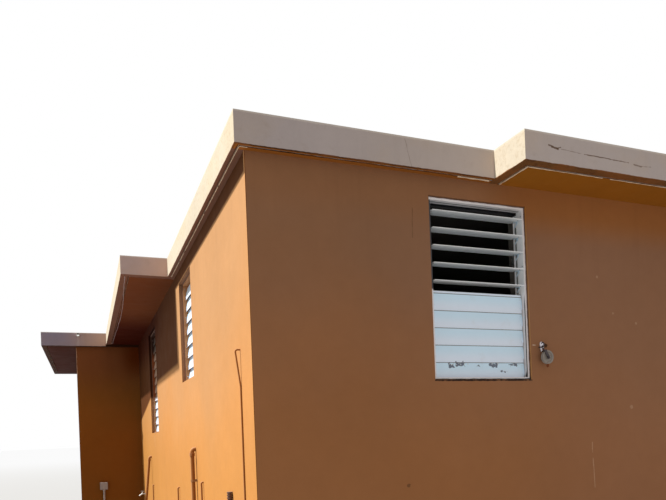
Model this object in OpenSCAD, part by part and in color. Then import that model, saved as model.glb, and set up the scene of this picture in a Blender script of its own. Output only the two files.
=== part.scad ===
// Single-storey plastered concrete house with a flat roof slab and louvre windows.
// Plan: a front block and a wider rear block, mirrored about X = 0.
// Millimetres, +Z up. House coordinates: Y = 0 on the outer face of the front wall, Z = 0 at ground.

/* [Plan] */
// Outer width of the front block
house_w = 7600; // [7000:50:9200]
// Outer length of the front block, front wall to the face of the rear block
front_l = 6965; // [6500:5:8400]
// Outer depth of the rear block
rear_l = 4000; // [3600:50:5000]
// How far the rear block stands out past each side of the front block
wing_w = 900; // [600:10:1200]
// Wall thickness, block and plaster
wall_t = 175; // [150:5:215]

/* [Heights] */
// Top of the floor slab above the ground
floor_top = 150; // [100:10:250]
// Underside of the front roof slab above the ground
soffit_z = 2900; // [2850:10:3500]
// Thickness of the front roof slab at its edge
slab_t = 170; // [150:5:220]
// How much deeper the edge of the rear roof slab hangs
rear_drop = 30; // [10:5:60]

/* [Roof outline] */
// Overhang near the corners of the front block
eave_small = 65; // [50:5:120]
// Overhang over the middle of the front and rear walls
eave_front = 340; // [250:10:420]
// Overhang along the side walls
eave_side = 470; // [400:10:560]
// Distance from a corner to the step in the front and rear overhang
step_front = 1500; // [1300:50:1800]
// Distance from the front corner to the step in the side overhang
step_side = 2650; // [2500:50:3200]
// Width of the raised rim round the roof
rim_w = 100; // [80:10:150]
// Depth of the roof surface below the top of the rim
rim_h = 60; // [40:5:80]
// Distance of the drip groove from the roof edge
drip_in = 62; // [50:2:90]
// Same, where the overhang is small
drip_in_small = 18; // [14:1:24]
// Width of the drip groove
drip_w = 14; // [10:1:18]
// Depth of the drip groove
drip_d = 12; // [8:1:20]

/* [Windows] */
// Distance of the window heads below the underside of the front roof slab
head_drop = 114; // [100:2:400]
// Height of one louvre blade step
blade_pitch = 102; // [98:0.1:123]
// How far a closed blade laps over the next one
blade_lap = 11; // [8:1:14]
// Thickness of a louvre blade
blade_t = 2.6; // [2:0.2:3]
// Depth of the S curve of a blade on each side of its chord
blade_curl = 2.8; // [2:0.1:3]
// Lean of a closed blade from upright, in degrees
closed_lean = 5; // [5:0.5:9]
// Lean of the side windows' blades, which stand a little open, in degrees
side_lean = 13; // [5:0.5:20]
// Lean of an open blade from upright, in degrees
open_lean = 88; // [70:1:90]
// How far the plane of a blade stands in front of its pivots
pivot_off = 14.5; // [10:0.5:16]
// Face width of the aluminium window frame
frame_face = 18; // [16:1:18]
// Depth of the window frame, front to back
frame_d = 84; // [76:1:90]
// Wall thickness of the frame's hollow bars
frame_wall = 2.4; // [1.6:0.2:3.2]
// Height of the inner stop at the head and the sill
stop_h = 12; // [8:1:14]
// Height of the lip at the front of the window sill
sill_lip = 15; // [10:1:18]
// Distance from the wall face to the front of the window frame
reveal = 16; // [12:1:25]
// Distance from the wall face to the front of a side window's frame
side_reveal = 33; // [12:1:60]
// Width of the windows in the front wall
front_win_w = 690; // [600:1:840]
// Blades in a front window
front_win_n = 10; // [8:1:11]
// Of those, open blades at the top
front_win_open = 5; // [0:1:8]
// Distance from the corner to the first front window
front_win_x = 1080; // [900:10:1300]
// Width of the small side window
small_win_w = 620; // [500:10:700]
// Blades in the small side window
small_win_n = 8; // [6:1:10]
// Distance from the corner to the small side window
small_win_y = 1820; // [1600:10:2000]
// Width of the tall windows
tall_win_w = 820; // [700:10:900]
// Blades in a tall window
tall_win_n = 12; // [10:1:13]
// Distance from the corner to the tall side window
tall_win_y = 4490; // [4200:10:4700]
// Distance from the middle of the rear wall to its windows
rear_win_x = 2700; // [2400:50:3000]

/* [Doorway] */
// Clear width of the doorway in the rear wall
door_w = 900; // [800:10:1000]
// Clear height of the doorway above the floor
door_h = 2100; // [2000:10:2200]
// Face width of the door frame
door_face = 40; // [30:1:50]
// Thickness of the door leaf
leaf_t = 40; // [35:1:45]

/* [Pipes] */
// Outside diameter of the waste pipe on the left wall
waste_d = 33; // [26:1:42]
// Height where the waste pipe enters the wall
waste_z = 1345; // [1200:5:1500]
// Distance of the waste pipe from the front corner
waste_y = 1862; // [1700:2:2000]
// Outside diameter of the electrical conduit
conduit_d = 10; // [8:1:16]
// Height where the conduit enters the wall
conduit_z = 1910; // [1700:10:2100]
// Distance of the conduit from the front corner
conduit_y = 246; // [180:2:400]
// Outside diameter of the three thin pipes
thin_d = 14; // [10:1:20]
// Height of the first thin pipe, beside the waste pipe
thin_z = 1100; // [900:10:1200]
// Its distance from the front corner
thin_y = 1570; // [1400:10:1700]
// Height of the second thin pipe, between the windows
thin_mid_z = 970; // [800:10:1200]
// Its distance from the front corner
thin_mid_y = 2880; // [2600:10:3400]
// Height of the third thin pipe, beside the water riser
thin_far_z = 835; // [700:5:1000]
// Distance between the third thin pipe and the water riser
thin_far_gap = 210; // [150:5:300]
// Height of the lower strap of the waste pipe
strap_low = 450; // [300:10:700]
// Height of the upper strap of the waste pipe
strap_high = 1089; // [900:1:1150]
// Outside diameter of the water riser near the rear block
riser_d = 33; // [26:1:42]
// Height where the water riser enters the wall
riser_z = 1200; // [1000:10:1400]
// Distance of the water riser from the rear block
riser_gap = 1465; // [1300:5:1600]
// Lean of the water riser, which stands away from the wall at its foot, in degrees
riser_lean = 6; // [0:1:8]
// Height of the tap on the water riser
tap_z = 710; // [500:10:900]
// Height of the capped riser near the front corner
capped_z = 1105; // [900:5:1300]
// Distance of the capped riser from the front corner
capped_y = 580; // [450:10:800]
// Bore of the roof spouts
spout_bore = 44; // [30:1:50]
// Height of the outlet box on the wing wall, at its middle
outlet_z = 752; // [600:1:1200]
// Distance of the outlet box from the corner of the rear block
outlet_x = 320; // [200:10:500]
// Side of the outlet box
outlet_w = 110; // [90:1:130]

/* [Line pulley] */
// Diameter of the line pulley's wheel
pulley_d = 84; // [70:1:100]
// Distance of the pulley's hook from the front window beside it
hook_gap = 61; // [50:1:250]
// Height of the pulley's hook above the ground
hook_z = 1915; // [1750:5:2100]
// How far the pulley has swung to the side, in degrees
swing = 28; // [0:1:40]

/* [Hidden] */
$fn = 24;
// Clearance left where two pieces seat
seat = 0.3;
side_x = house_w / 2;
wing_x = side_x + wing_w;
rear_face = front_l + rear_l;
roof_step = front_l - eave_small;
roof_top = soffit_z + slab_t;
rear_soffit = soffit_z - rear_drop;
mid_y = rear_face / 2;
head_z = soffit_z - head_drop;
pivot_in = reveal + frame_d * 0.53;
blade_w = blade_pitch + blade_lap;
blade_clear = 2.1;
foot_z = blade_w / 2 + frame_wall + blade_clear;
head_gap = blade_w / 2 + frame_face + pivot_off;
pin_d = 6;
link_arm = 24;
link_w = 12;
link_t = 3;
clip_t = 2;
crank_w = 15;
crank_d = 26;
crank_h = 64;
crank_shaft = 9;
crank_arm_w = 10;
crank_arm_t = 5;
handle_l = 56;
knob_d = 12;
knob_h = 20;
blade_gap = clip_t + link_t + 1.2;
wing_win_y = front_l + (rear_l - tall_win_w) / 2;
// Windows of the left side: distance from the front corner, width, blades, and the wall's face
SIDE_WINDOWS = [
    [small_win_y, small_win_w, small_win_n, side_x],
    [tall_win_y, tall_win_w, tall_win_n, side_x],
    [wing_win_y, tall_win_w, tall_win_n, wing_x]
];
stile_w = 105;
panel_rim = 22;
panel_sunk = 8;
knuckle_d = 12;
plate_t = 2.5;
leaf_w = door_w - 2 * door_face - 6;
leaf_h = door_h - door_face - 8;
hinge_x = door_w / 2 - door_face;
hinge_y = rear_face - wall_t - knuckle_d / 2 - seat;
leaf_y = hinge_y - plate_t - seat;
riser_y = front_l - riser_gap;
waste_off = waste_d / 2 + 14;
riser_off = riser_d / 2 + 14;
riser_bend = riser_off - 6;
elbow_rim = 3.5;
elbow_h = 26;
capped_d = 26;
cap_rim = 4;
cap_ring_h = 9;
cap_ring_pitch = 16;
spout_wall = 3;
spout_out = 80;
spout_x = wing_x - 35;
spout_z = roof_top - rim_h + spout_bore / 2;
wheel_t = 16;
strap_t = 2.5;
hook_d = 7;
hook_r = 13;
hook_turn = 230;
hook_reach = 34;
hook_x = front_win_x + front_win_w + hook_gap;
wheel_drop = pulley_d / 2 + 30;

// Heights of a window with n blades
function win_h(n) = (n - 1) * blade_pitch + foot_z + head_gap;
function sill_z(n) = head_z - win_h(n);

// S curve of a blade: offset from the chord at distance s from its middle
function curl(s) = -blade_curl * sin(180 * s / blade_w);
function blade_side(off, n = 6) = [
    for (i = [0 : n])
        let (s = blade_w * (i / n - 0.5))
        [curl(s) + off, s]
];
function turned(list) = [for (i = [len(list) - 1 : -1 : 0]) list[i]];

// Moves a piece from house coordinates to the part's own origin
module placed() {
    translate([0, -mid_y, 0]) children();
}

// Draws a piece and its mirror image on the other side of the house
module both_sides() {
    children();
    mirror([1, 0, 0]) children();
}

// Puts children, built facing -Y with the sill corner at the origin, into the left wall
module on_left(y, z, x = side_x) {
    translate([-x, y, z]) mirror([1, 0, 0]) rotate([0, 0, 90]) children();
}

module window_hole(w, n) {
    translate([0, -1, 0]) cube([w, wall_t + 2, win_h(n)]);
}

// Walls

module front_wall() {
    color("saddlebrown") placed() difference() {
        translate([-side_x, 0, 0]) cube([house_w, wall_t, soffit_z]);
        both_sides() translate([-side_x + front_win_x, 0, sill_z(front_win_n)])
            window_hole(front_win_w, front_win_n);
        translate([-front_win_w / 2, 0, sill_z(front_win_n)]) window_hole(front_win_w, front_win_n);
    }
}

module side_wall() {
    placed() difference() {
        translate([-side_x, wall_t, 0]) cube([wall_t, front_l, soffit_z]);
        translate([-side_x - 1, roof_step, rear_soffit]) cube([wall_t + 2, front_l, rear_drop + 1]);
        on_left(small_win_y, sill_z(small_win_n)) window_hole(small_win_w, small_win_n);
        on_left(tall_win_y, sill_z(tall_win_n)) window_hole(tall_win_w, tall_win_n);
    }
}

module left_wall() {
    color("peru") side_wall();
}

module right_wall() {
    color("peru") mirror([1, 0, 0]) side_wall();
}

module wing_front_wall() {
    placed() translate([-wing_x, front_l, 0]) cube([wing_w, wall_t, rear_soffit]);
}

module left_wing_front_wall() {
    color("saddlebrown") wing_front_wall();
}

module right_wing_front_wall() {
    color("saddlebrown") mirror([1, 0, 0]) wing_front_wall();
}

module wing_side_wall() {
    placed() difference() {
        translate([-wing_x, front_l + wall_t, 0]) cube([wall_t, rear_l - 2 * wall_t, rear_soffit]);
        on_left(wing_win_y, sill_z(tall_win_n), wing_x) window_hole(tall_win_w, tall_win_n);
    }
}

module left_wing_side_wall() {
    color("peru") wing_side_wall();
}

module right_wing_side_wall() {
    color("peru") mirror([1, 0, 0]) wing_side_wall();
}

// Half of the rear wall, from the doorway to a corner
module rear_wall_half() {
    placed() difference() {
        translate([-wing_x, rear_face - wall_t, 0]) cube([wing_x - door_w / 2, wall_t, rear_soffit]);
        translate([-rear_win_x - tall_win_w / 2, rear_face - wall_t, sill_z(tall_win_n)])
            window_hole(tall_win_w, tall_win_n);
    }
}

module rear_wall_left() {
    color("saddlebrown") rear_wall_half();
}

module rear_wall_right() {
    color("saddlebrown") mirror([1, 0, 0]) rear_wall_half();
}

module rear_wall_lintel() {
    lintel_z = floor_top + door_h;
    color("saddlebrown") placed() translate([-door_w / 2, rear_face - wall_t, lintel_z])
        cube([door_w, wall_t, rear_soffit - lintel_z]);
}

// Floor: one slab inside the walls, with a tongue that is the threshold of the doorway
module floor_slab() {
    color("silver") placed() {
        translate([-side_x + wall_t, wall_t, 0]) cube([house_w - 2 * wall_t, front_l, floor_top]);
        translate([-wing_x + wall_t, front_l + wall_t, 0])
            cube([2 * (wing_x - wall_t), rear_l - 2 * wall_t, floor_top]);
        translate([-door_w / 2, front_l + wall_t, 0]) cube([door_w, rear_l - wall_t, floor_top]);
    }
}

// Roof: stepped slab with a raised rim and a drip groove cut into its soffit

module box2(x0, y0, x1, y1) {
    translate([x0, y0]) square([x1 - x0, y1 - y0]);
}

// Outline of the front slab, pulled in by d on its free sides
module front_outline(d = 0) {
    box2(-side_x - eave_small + d, -eave_small + d, side_x + eave_small - d, roof_step);
    box2(-side_x + step_front + d, -eave_front + d, side_x - step_front - d, roof_step);
    box2(-side_x - eave_side + d, step_side + d, side_x + eave_side - d, roof_step);
}

// Outline of the rear slab, pulled in by d on its free sides
module rear_outline(d = 0) {
    box2(-wing_x - eave_side + d, roof_step + d, wing_x + eave_side - d, rear_face + eave_small - d);
    box2(-wing_x + step_front + d, roof_step + d, wing_x - step_front - d, rear_face + eave_front - d);
}

// Groove under the deep middle stretch of the front or rear overhang, open towards the wall
module drip_front(half) {
    difference() {
        box2(-half + drip_in, -eave_front + drip_in, half - drip_in, -1);
        box2(-half + drip_in + drip_w, -eave_front + drip_in + drip_w, half - drip_in - drip_w, 0);
    }
}

// Groove round the small overhang at a front corner
module drip_corner() {
    edge = -eave_small + drip_in_small;
    difference() {
        box2(-side_x + edge, edge, -side_x + step_front, step_side);
        box2(-side_x + edge + drip_w, edge + drip_w, -side_x + step_front + 1, step_side + 1);
    }
}

// Groove under the deep side overhang of the front block
module drip_side() {
    x0 = -side_x - eave_side + drip_in;
    difference() {
        box2(x0, step_side + drip_in, -side_x - 1, roof_step - drip_in);
        box2(x0 + drip_w, step_side + drip_in + drip_w, -side_x, roof_step);
    }
}

// Groove under the side overhang of the rear block
module drip_wing() {
    x0 = -wing_x - eave_side + drip_in;
    difference() {
        box2(x0, roof_step + drip_in, -wing_x - 1, rear_face);
        box2(x0 + drip_w, roof_step + drip_in + drip_w, -wing_x, rear_face + 1);
    }
}

module front_roof() {
    color("antiquewhite") placed() difference() {
        translate([0, 0, soffit_z]) linear_extrude(slab_t) front_outline();
        translate([0, 0, roof_top - rim_h]) linear_extrude(rim_h + 1) front_outline(rim_w);
        translate([0, 0, soffit_z - 1]) linear_extrude(drip_d + 1) {
            drip_front(side_x - step_front);
            both_sides() drip_corner();
            both_sides() drip_side();
        }
    }
}

module rear_roof() {
    joint_half = side_x + eave_side - rim_w;
    color("antiquewhite") placed() difference() {
        translate([0, 0, rear_soffit]) linear_extrude(slab_t + rear_drop) rear_outline();
        translate([0, 0, roof_top - rim_h]) linear_extrude(rim_h + 1) {
            rear_outline(rim_w);
            box2(-joint_half, roof_step - 1, joint_half, roof_step + rim_w + 1);
        }
        translate([0, 0, rear_soffit - 1]) linear_extrude(drip_d + 1) {
            translate([0, rear_face]) mirror([0, 1]) drip_front(wing_x - step_front);
            both_sides() drip_wing();
        }
        both_sides() translate([-spout_x, roof_step - 1, spout_z]) rotate([-90, 0, 0])
            cylinder(d = spout_bore + 2 * spout_wall + 2 * seat, h = rim_w + 2);
    }
}

// Short pipes through the rim of the rear roof, which drain both roofs
module roof_spouts() {
    color("white") placed() both_sides() translate([-spout_x, roof_step - spout_out, spout_z])
        rotate([-90, 0, 0]) difference() {
            cylinder(d = spout_bore + 2 * spout_wall, h = spout_out + rim_w);
            translate([0, 0, -1]) cylinder(d = spout_bore, h = spout_out + rim_w + 2);
        }
}

// Windows, built facing -Y with the lower left corner of the wall opening at the origin

// Section of a jamb or the head, open towards the wall: depth along x, width from the wall along y.
// stop is the width of the flange at its back.
module bar_section(stop) {
    t = frame_wall;
    back = frame_d - t;
    polygon([
        [0, seat], [0, frame_face], [back, frame_face], [back, stop], [frame_d, stop],
        [frame_d, seat], [back, seat], [back, frame_face - t], [t, frame_face - t], [t, seat]
    ]);
}

// Section of the sill: front lip, thin floor under the lowest blade, and stop at the back
module sill_section() {
    t = frame_wall;
    back = frame_d - t;
    stop = frame_face + stop_h;
    polygon([
        [0, seat], [0, sill_lip], [t, sill_lip], [t, seat + t], [back, seat + t], [back, stop],
        [frame_d, stop], [frame_d, seat]
    ]);
}

// Frame: two jambs, with the head and the sill between their webs
module window_frame(w, n) {
    h = win_h(n);
    lap = frame_face - frame_wall / 2;
    translate([0, reveal, 0]) {
        for (x = [0, w]) translate([x, 0, seat]) mirror([x > 0 ? 1 : 0, 0, 0])
            linear_extrude(h - 2 * seat) mirror([1, 0]) rotate(90)
                bar_section(frame_face + stop_h / 3);
        translate([lap, 0, h]) mirror([0, 0, 1]) along_x(w - 2 * lap) bar_section(frame_face + stop_h);
        translate([lap, 0, 0]) along_x(w - 2 * lap) sill_section();
    }
}

// One blade in front of its pivots, with an end clip and a link arm at each end, closed and upright
module blade_profile() {
    polygon(concat(blade_side(-blade_t / 2), turned(blade_side(blade_t / 2))));
}

module clip_profile() {
    translate([-pivot_off, 0]) square([3 * blade_t, 0.6 * blade_w], center = true);
    translate([-pivot_off, -link_w / 2]) square([pivot_off, link_w]);
    circle(d = 2.4 * pin_d);
    rotate(45) translate([0, -link_w / 3]) square([link_arm, 2 * link_w / 3]);
    rotate(45) translate([link_arm, 0]) circle(d = link_w);
}

module along_x(len) {
    rotate([90, 0, 90]) linear_extrude(len) children();
}

module louvre(w) {
    len = w - 2 * frame_face - 2 * blade_gap;
    translate([-len / 2, -pivot_off, 0]) along_x(len) blade_profile();
    both_sides() translate([len / 2, 0, 0]) along_x(clip_t) clip_profile();
    both_sides() translate([len / 2 + clip_t, 0, 0]) rotate([0, 90, 0])
        cylinder(d = pin_d, h = blade_gap - clip_t);
}

// Height of blade i's pivot above the bottom of the opening
function pivot_z(i) = foot_z + i * blade_pitch;

module window_blades(w, n, open = 0, shut_lean = closed_lean) {
    for (i = [0 : n - 1]) {
        lean = i < n - open ? shut_lean : open_lean;
        translate([w / 2, pivot_in, pivot_z(i)]) rotate([-lean, 0, 0]) louvre(w);
    }
}

// Link bars that turn a group of blades together, one pair for each group
module link_pair(w, z0, z1) {
    bar_h = z1 - z0 + 2 * link_w;
    for (x = [frame_face + 0.6, w - frame_face - 0.6 - link_t])
        translate([x, pivot_in + link_arm * 0.7 - link_w / 2, z0 - link_w]) cube([link_t, link_w, bar_h]);
}

module window_links(w, n, open = 0) {
    lift = link_arm * 0.7;
    link_pair(w, pivot_z(0) + lift, pivot_z(n - open - 1) + lift);
    if (open > 0)
        link_pair(w, pivot_z(n - open) - lift, pivot_z(n - 1) - lift);
}

// Crank that turns one group of blades, about its shaft, seen from outside at the left
module crank() {
    arm_y = crank_d + 5;
    knob_z = -handle_l + knob_d / 2;
    translate([-crank_w / 2, 0, -crank_h / 2]) cube([crank_w, crank_d, crank_h]);
    translate([0, crank_d, 0]) rotate([-90, 0, 0]) cylinder(d = crank_shaft, h = 8);
    translate([-crank_arm_w / 2, arm_y, -handle_l])
        cube([crank_arm_w, crank_arm_t, handle_l + crank_arm_w / 2]);
    translate([0, arm_y + crank_arm_t - 1, knob_z]) rotate([-90, 0, 0]) cylinder(d = knob_d, h = knob_h);
}

module window_cranks(w, n, open = 0) {
    groups = open > 0 ? [[0, n - open - 1], [n - open, n - 1]] : [[0, n - 1]];
    for (g = groups)
        translate([w - frame_face / 2 - 0.5, reveal + frame_d + seat, (pivot_z(g[0]) + pivot_z(g[1])) / 2])
            crank();
}

// Places children at each window of the front wall
module at_front_windows() {
    z = sill_z(front_win_n);
    both_sides() translate([-side_x + front_win_x, 0, z]) children();
    translate([-front_win_w / 2, 0, z]) children();
}

module front_window_frames() {
    color("white") placed() at_front_windows() window_frame(front_win_w, front_win_n);
}

module front_window_blades() {
    color("white") placed() at_front_windows()
        window_blades(front_win_w, front_win_n, front_win_open);
}

module front_window_links() {
    color("silver") placed() at_front_windows()
        window_links(front_win_w, front_win_n, front_win_open);
}

module front_window_cranks() {
    color("silver") placed() at_front_windows()
        window_cranks(front_win_w, front_win_n, front_win_open);
}

// Places children in the left side's window win, as deep as its frame sits
module at_side_window(win) {
    placed() on_left(win[0], sill_z(win[2]), win[3]) translate([0, side_reveal - reveal, 0]) children();
}

module side_frames() {
    for (win = SIDE_WINDOWS) at_side_window(win) window_frame(win[1], win[2]);
}

module side_blades() {
    for (win = SIDE_WINDOWS) at_side_window(win) window_blades(win[1], win[2], 0, side_lean);
}

module side_links() {
    for (win = SIDE_WINDOWS) at_side_window(win) window_links(win[1], win[2]);
}

module side_cranks() {
    for (win = SIDE_WINDOWS) at_side_window(win) window_cranks(win[1], win[2]);
}

module left_window_frames() {
    color("white") side_frames();
}

module left_window_blades() {
    color("white") side_blades();
}

module left_window_links() {
    color("silver") side_links();
}

module left_window_cranks() {
    color("silver") side_cranks();
}

module right_window_frames() {
    color("white") mirror([1, 0, 0]) side_frames();
}

module right_window_blades() {
    color("white") mirror([1, 0, 0]) side_blades();
}

module right_window_links() {
    color("silver") mirror([1, 0, 0]) side_links();
}

module right_window_cranks() {
    color("silver") mirror([1, 0, 0]) side_cranks();
}

// Places children, built facing -Y, at each window of the rear wall, facing +Y
module at_rear_windows() {
    both_sides() translate([-rear_win_x - tall_win_w / 2, rear_face, sill_z(tall_win_n)])
        mirror([0, 1, 0]) children();
}

module rear_window_frames() {
    color("white") placed() at_rear_windows() window_frame(tall_win_w, tall_win_n);
}

module rear_window_blades() {
    color("white") placed() at_rear_windows() window_blades(tall_win_w, tall_win_n);
}

module rear_window_links() {
    color("silver") placed() at_rear_windows() window_links(tall_win_w, tall_win_n);
}

module rear_window_cranks() {
    color("silver") placed() at_rear_windows() window_cranks(tall_win_w, tall_win_n);
}

// Doorway: frame on three sides, and the panelled leaf standing open into the house

module door_frame() {
    top = floor_top + door_h;
    color("white") placed() translate([0, rear_face - wall_t, 0]) difference() {
        translate([-door_w / 2 + seat, 0, floor_top])
            cube([door_w - 2 * seat, wall_t, door_h - seat]);
        translate([-door_w / 2 + door_face, -1, floor_top - 1])
            cube([door_w - 2 * door_face, wall_t + 2, door_h - door_face + 1]);
    }
}

// Sunk field of a door panel w wide and h high, with a raised middle, on the face x = 0
module panel_cut(w, h) {
    difference() {
        translate([-1, 0, 0]) cube([panel_sunk + 1, w, h]);
        translate([-2, panel_rim, panel_rim]) cube([panel_sunk + 4, w - 2 * panel_rim, h - 2 * panel_rim]);
    }
}

module door_leaf() {
    panel_w = (leaf_w - 3 * stile_w) / 2;
    // Foot and height of each row of panels, as shares of the leaf's height
    rows = [[0.09, 0.32], [0.46, 0.29], [0.8, 0.14]];
    color("white") placed() translate([hinge_x - knuckle_d / 2 - leaf_t, leaf_y - leaf_w, floor_top + 5])
        difference() {
            cube([leaf_t, leaf_w, leaf_h]);
            for (row = rows, y = [stile_w, 2 * stile_w + panel_w])
                translate([0, y, row[0] * leaf_h]) {
                    panel_cut(panel_w, row[1] * leaf_h);
                    translate([leaf_t, 0, 0]) mirror([1, 0, 0]) panel_cut(panel_w, row[1] * leaf_h);
                }
        }
}

// Three butt hinges: knuckle, plate on the jamb and plate on the edge of the leaf
module door_hinges() {
    plate_h = 80;
    color("silver") placed() for (f = [0.12, 0.5, 0.88])
        translate([hinge_x, hinge_y, floor_top + 5 + f * leaf_h]) {
            cylinder(d = knuckle_d, h = plate_h + 10, center = true);
            translate([-plate_t - seat, 0, -plate_h / 2]) cube([plate_t, knuckle_d / 2 + 32, plate_h]);
            translate([-knuckle_d / 2 - leaf_t + 4, -plate_t, -plate_h / 2])
                cube([leaf_t, plate_t, plate_h]);
        }
}

module door_handles() {
    leaf_mid = hinge_x - (knuckle_d + leaf_t) / 2;
    backset = 60;
    handle_z = 1000;
    ball_d = 52;
    color("silver") placed() translate([leaf_mid, leaf_y - leaf_w + backset, floor_top + handle_z])
        for (s = [-1, 1]) translate([s * (leaf_t / 2 + seat), 0, 0]) rotate([0, 90 * s, 0]) {
            cylinder(d = ball_d + 8, h = 8);
            cylinder(d = 20, h = 40);
            translate([0, 0, ball_d]) sphere(d = ball_d);
        }
}

// Pipes on the left wall. Each is built with the wall's face at x = 0 and the ground at z = 0.

module at_left_wall(y) {
    placed() translate([-side_x, y, 0]) children();
}

// Quarter bend of radius r into the wall and its stub, for a pipe that stands off the wall,
// about the top end of the pipe's upright stretch
module wall_bend(d, off, r) {
    translate([r, 0, 0]) rotate([90, 0, 0]) rotate([0, 0, 90]) rotate_extrude(angle = 90)
        translate([r, 0]) circle(d = d);
    translate([r, 0, r]) rotate([0, 90, 0]) cylinder(d = d, h = off - r - seat);
}

// Upright pipe with a bend into the wall, whose axis meets the wall at height top
module wall_pipe(d, off, top) {
    r = off - 6;
    translate([-off, 0, 0]) {
        cylinder(d = d, h = top - r);
        translate([0, 0, top - r]) wall_bend(d, off, r);
    }
}

module waste_pipe() {
    r = waste_off - 6;
    color("peru") at_left_wall(waste_y) {
        wall_pipe(waste_d, waste_off, waste_z);
        translate([-waste_off, 0, waste_z - r - elbow_h - 4])
            cylinder(d = waste_d + 2 * elbow_rim, h = elbow_h);
    }
}

// Conduit that leaves the wall in a bend and lies back against the wall further down
module conduit() {
    off = conduit_d / 2 + seat;
    top_off = 28;
    r = 12;
    drop = 190;
    z0 = conduit_z - r - drop;
    slant = atan((top_off - off) / drop);
    color("peru") at_left_wall(conduit_y) {
        translate([-off, 0, 0]) cylinder(d = conduit_d, h = z0);
        translate([-off, 0, z0]) sphere(d = conduit_d + 0.5);
        translate([-off, 0, z0]) rotate([0, -slant, 0]) cylinder(d = conduit_d, h = drop / cos(slant));
        translate([-top_off, 0, z0 + drop]) sphere(d = conduit_d + 1);
        translate([-top_off, 0, z0 + drop]) wall_bend(conduit_d, top_off, r);
    }
}

module thin_pipes() {
    off = thin_d / 2 + 9;
    color("peru") {
        at_left_wall(thin_y) wall_pipe(thin_d, off, thin_z);
        at_left_wall(thin_mid_y) wall_pipe(thin_d, off, thin_mid_z);
        at_left_wall(riser_y - thin_far_gap) wall_pipe(thin_d, off, thin_far_z);
    }
}

// Places children on the axis of the leaning riser, z = 0 where its bend begins
module on_riser() {
    translate([-riser_off, 0, riser_z - riser_bend]) rotate([0, riser_lean, 0]) children();
}

module water_riser() {
    length = (riser_z - riser_bend) / cos(riser_lean) + riser_d;
    color("peru") at_left_wall(riser_y) difference() {
        union() {
            on_riser() translate([0, 0, -length]) cylinder(d = riser_d, h = length);
            on_riser() translate([0, 0, -elbow_h - 4]) cylinder(d = riser_d + 2 * elbow_rim, h = elbow_h);
            on_riser() sphere(d = riser_d);
            translate([-riser_off, 0, riser_z - riser_bend]) wall_bend(riser_d, riser_off, riser_bend);
        }
        translate([-3 * length, -riser_d, -4 * riser_d]) cube([6 * length, 2 * riser_d, 4 * riser_d]);
    }
}

// Riser that ends in a ribbed cap
module capped_riser() {
    cap_d = capped_d + 2 * cap_rim;
    color("peru") at_left_wall(capped_y) translate([-cap_d / 2 - seat, 0, 0]) {
        cylinder(d = capped_d, h = capped_z - 4);
        for (i = [0 : 3]) translate([0, 0, capped_z - cap_ring_h - cap_ring_pitch * i])
            cylinder(d = cap_d, h = cap_ring_h);
    }
}

// U straps that hold the waste pipe to the wall
module pipe_straps() {
    band = 2;
    strap_h = 16;
    foot = 16;
    bore = waste_d + 2 * seat;
    wide = bore + 2 * band;
    color("silver") at_left_wall(waste_y) for (z = [strap_low, strap_high]) translate([0, 0, z]) {
        translate([-waste_off, 0, 0]) difference() {
            union() {
                cylinder(d = wide, h = strap_h);
                translate([0, -wide / 2, 0]) cube([waste_off - seat, wide, strap_h]);
            }
            translate([0, 0, -1]) cylinder(d = bore, h = strap_h + 2);
            translate([0, -bore / 2, -1]) cube([waste_off, bore, strap_h + 2]);
        }
        for (y = [-wide / 2 - foot + band, wide / 2 - band]) translate([-band - seat, y, 0])
            cube([band, foot, strap_h]);
    }
}

// Tap on the riser: stub, body, spout and handle
module garden_tap() {
    down = (riser_z - riser_bend - tap_z) / cos(riser_lean);
    stub = 40;
    spout_tilt = -130;
    grip = 46;
    grip_w = 8;
    color("silver") at_left_wall(riser_y) on_riser() translate([-riser_d / 2 - seat, 0, -down]) {
        rotate([0, -90, 0]) cylinder(d = 18, h = stub);
        translate([-stub, 0, 0]) {
            sphere(d = 28);
            rotate([0, spout_tilt, 0]) cylinder(d = 16, h = 46);
            rotate([0, spout_tilt, 0]) translate([0, 0, 36]) cylinder(d = 21, h = 12);
            cylinder(d = grip_w, h = 34);
            for (a = [0, 90]) rotate([0, 0, a]) translate([-grip / 2, -grip_w / 2, 28])
                cube([grip, grip_w, 6]);
        }
    }
}

// Outlet box on the front of the left wing wall, with a lid and its pipe from the ground
module outlet_box() {
    deep = 48;
    lid_in = 8;
    pipe_d = 30;
    color("gray") placed() translate([-wing_x + outlet_x, front_l - deep - seat, outlet_z]) {
        translate([-outlet_w / 2, 0, -outlet_w / 2]) cube([outlet_w, deep, outlet_w]);
        translate([-outlet_w / 2 + lid_in, -6, -outlet_w / 2 + lid_in])
            cube([outlet_w - 2 * lid_in, 7, outlet_w - 2 * lid_in]);
        for (x = [-0.25, 0.25]) translate([x * outlet_w, -3, outlet_w / 2 - lid_in]) rotate([0, 90, 0])
            cylinder(d = 9, h = 16, center = true);
        translate([0, deep / 2, -outlet_z]) cylinder(d = pipe_d, h = outlet_z);
        translate([0, deep / 2, -outlet_w / 2 - 20]) cylinder(d = pipe_d + 8, h = 21);
    }
}

// Clothes line pulley on the front wall. Each piece is built about the hook's lowest point.

module at_hook() {
    color("gray") placed() translate([-side_x + hook_x, -hook_reach, hook_z]) children();
}

// Screw hook: straight shank into the wall, and a bend open at the top
module pulley_hook() {
    at_hook() {
        translate([0, hook_reach - seat, 0]) rotate([90, 0, 0]) cylinder(d = hook_d, h = hook_reach - seat);
        sphere(d = hook_d + 1);
        translate([0, 0, hook_r]) rotate([90, 0, 90]) rotate([0, 0, 270 - hook_turn])
            rotate_extrude(angle = hook_turn) translate([hook_r, 0]) circle(d = hook_d);
    }
}

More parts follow.
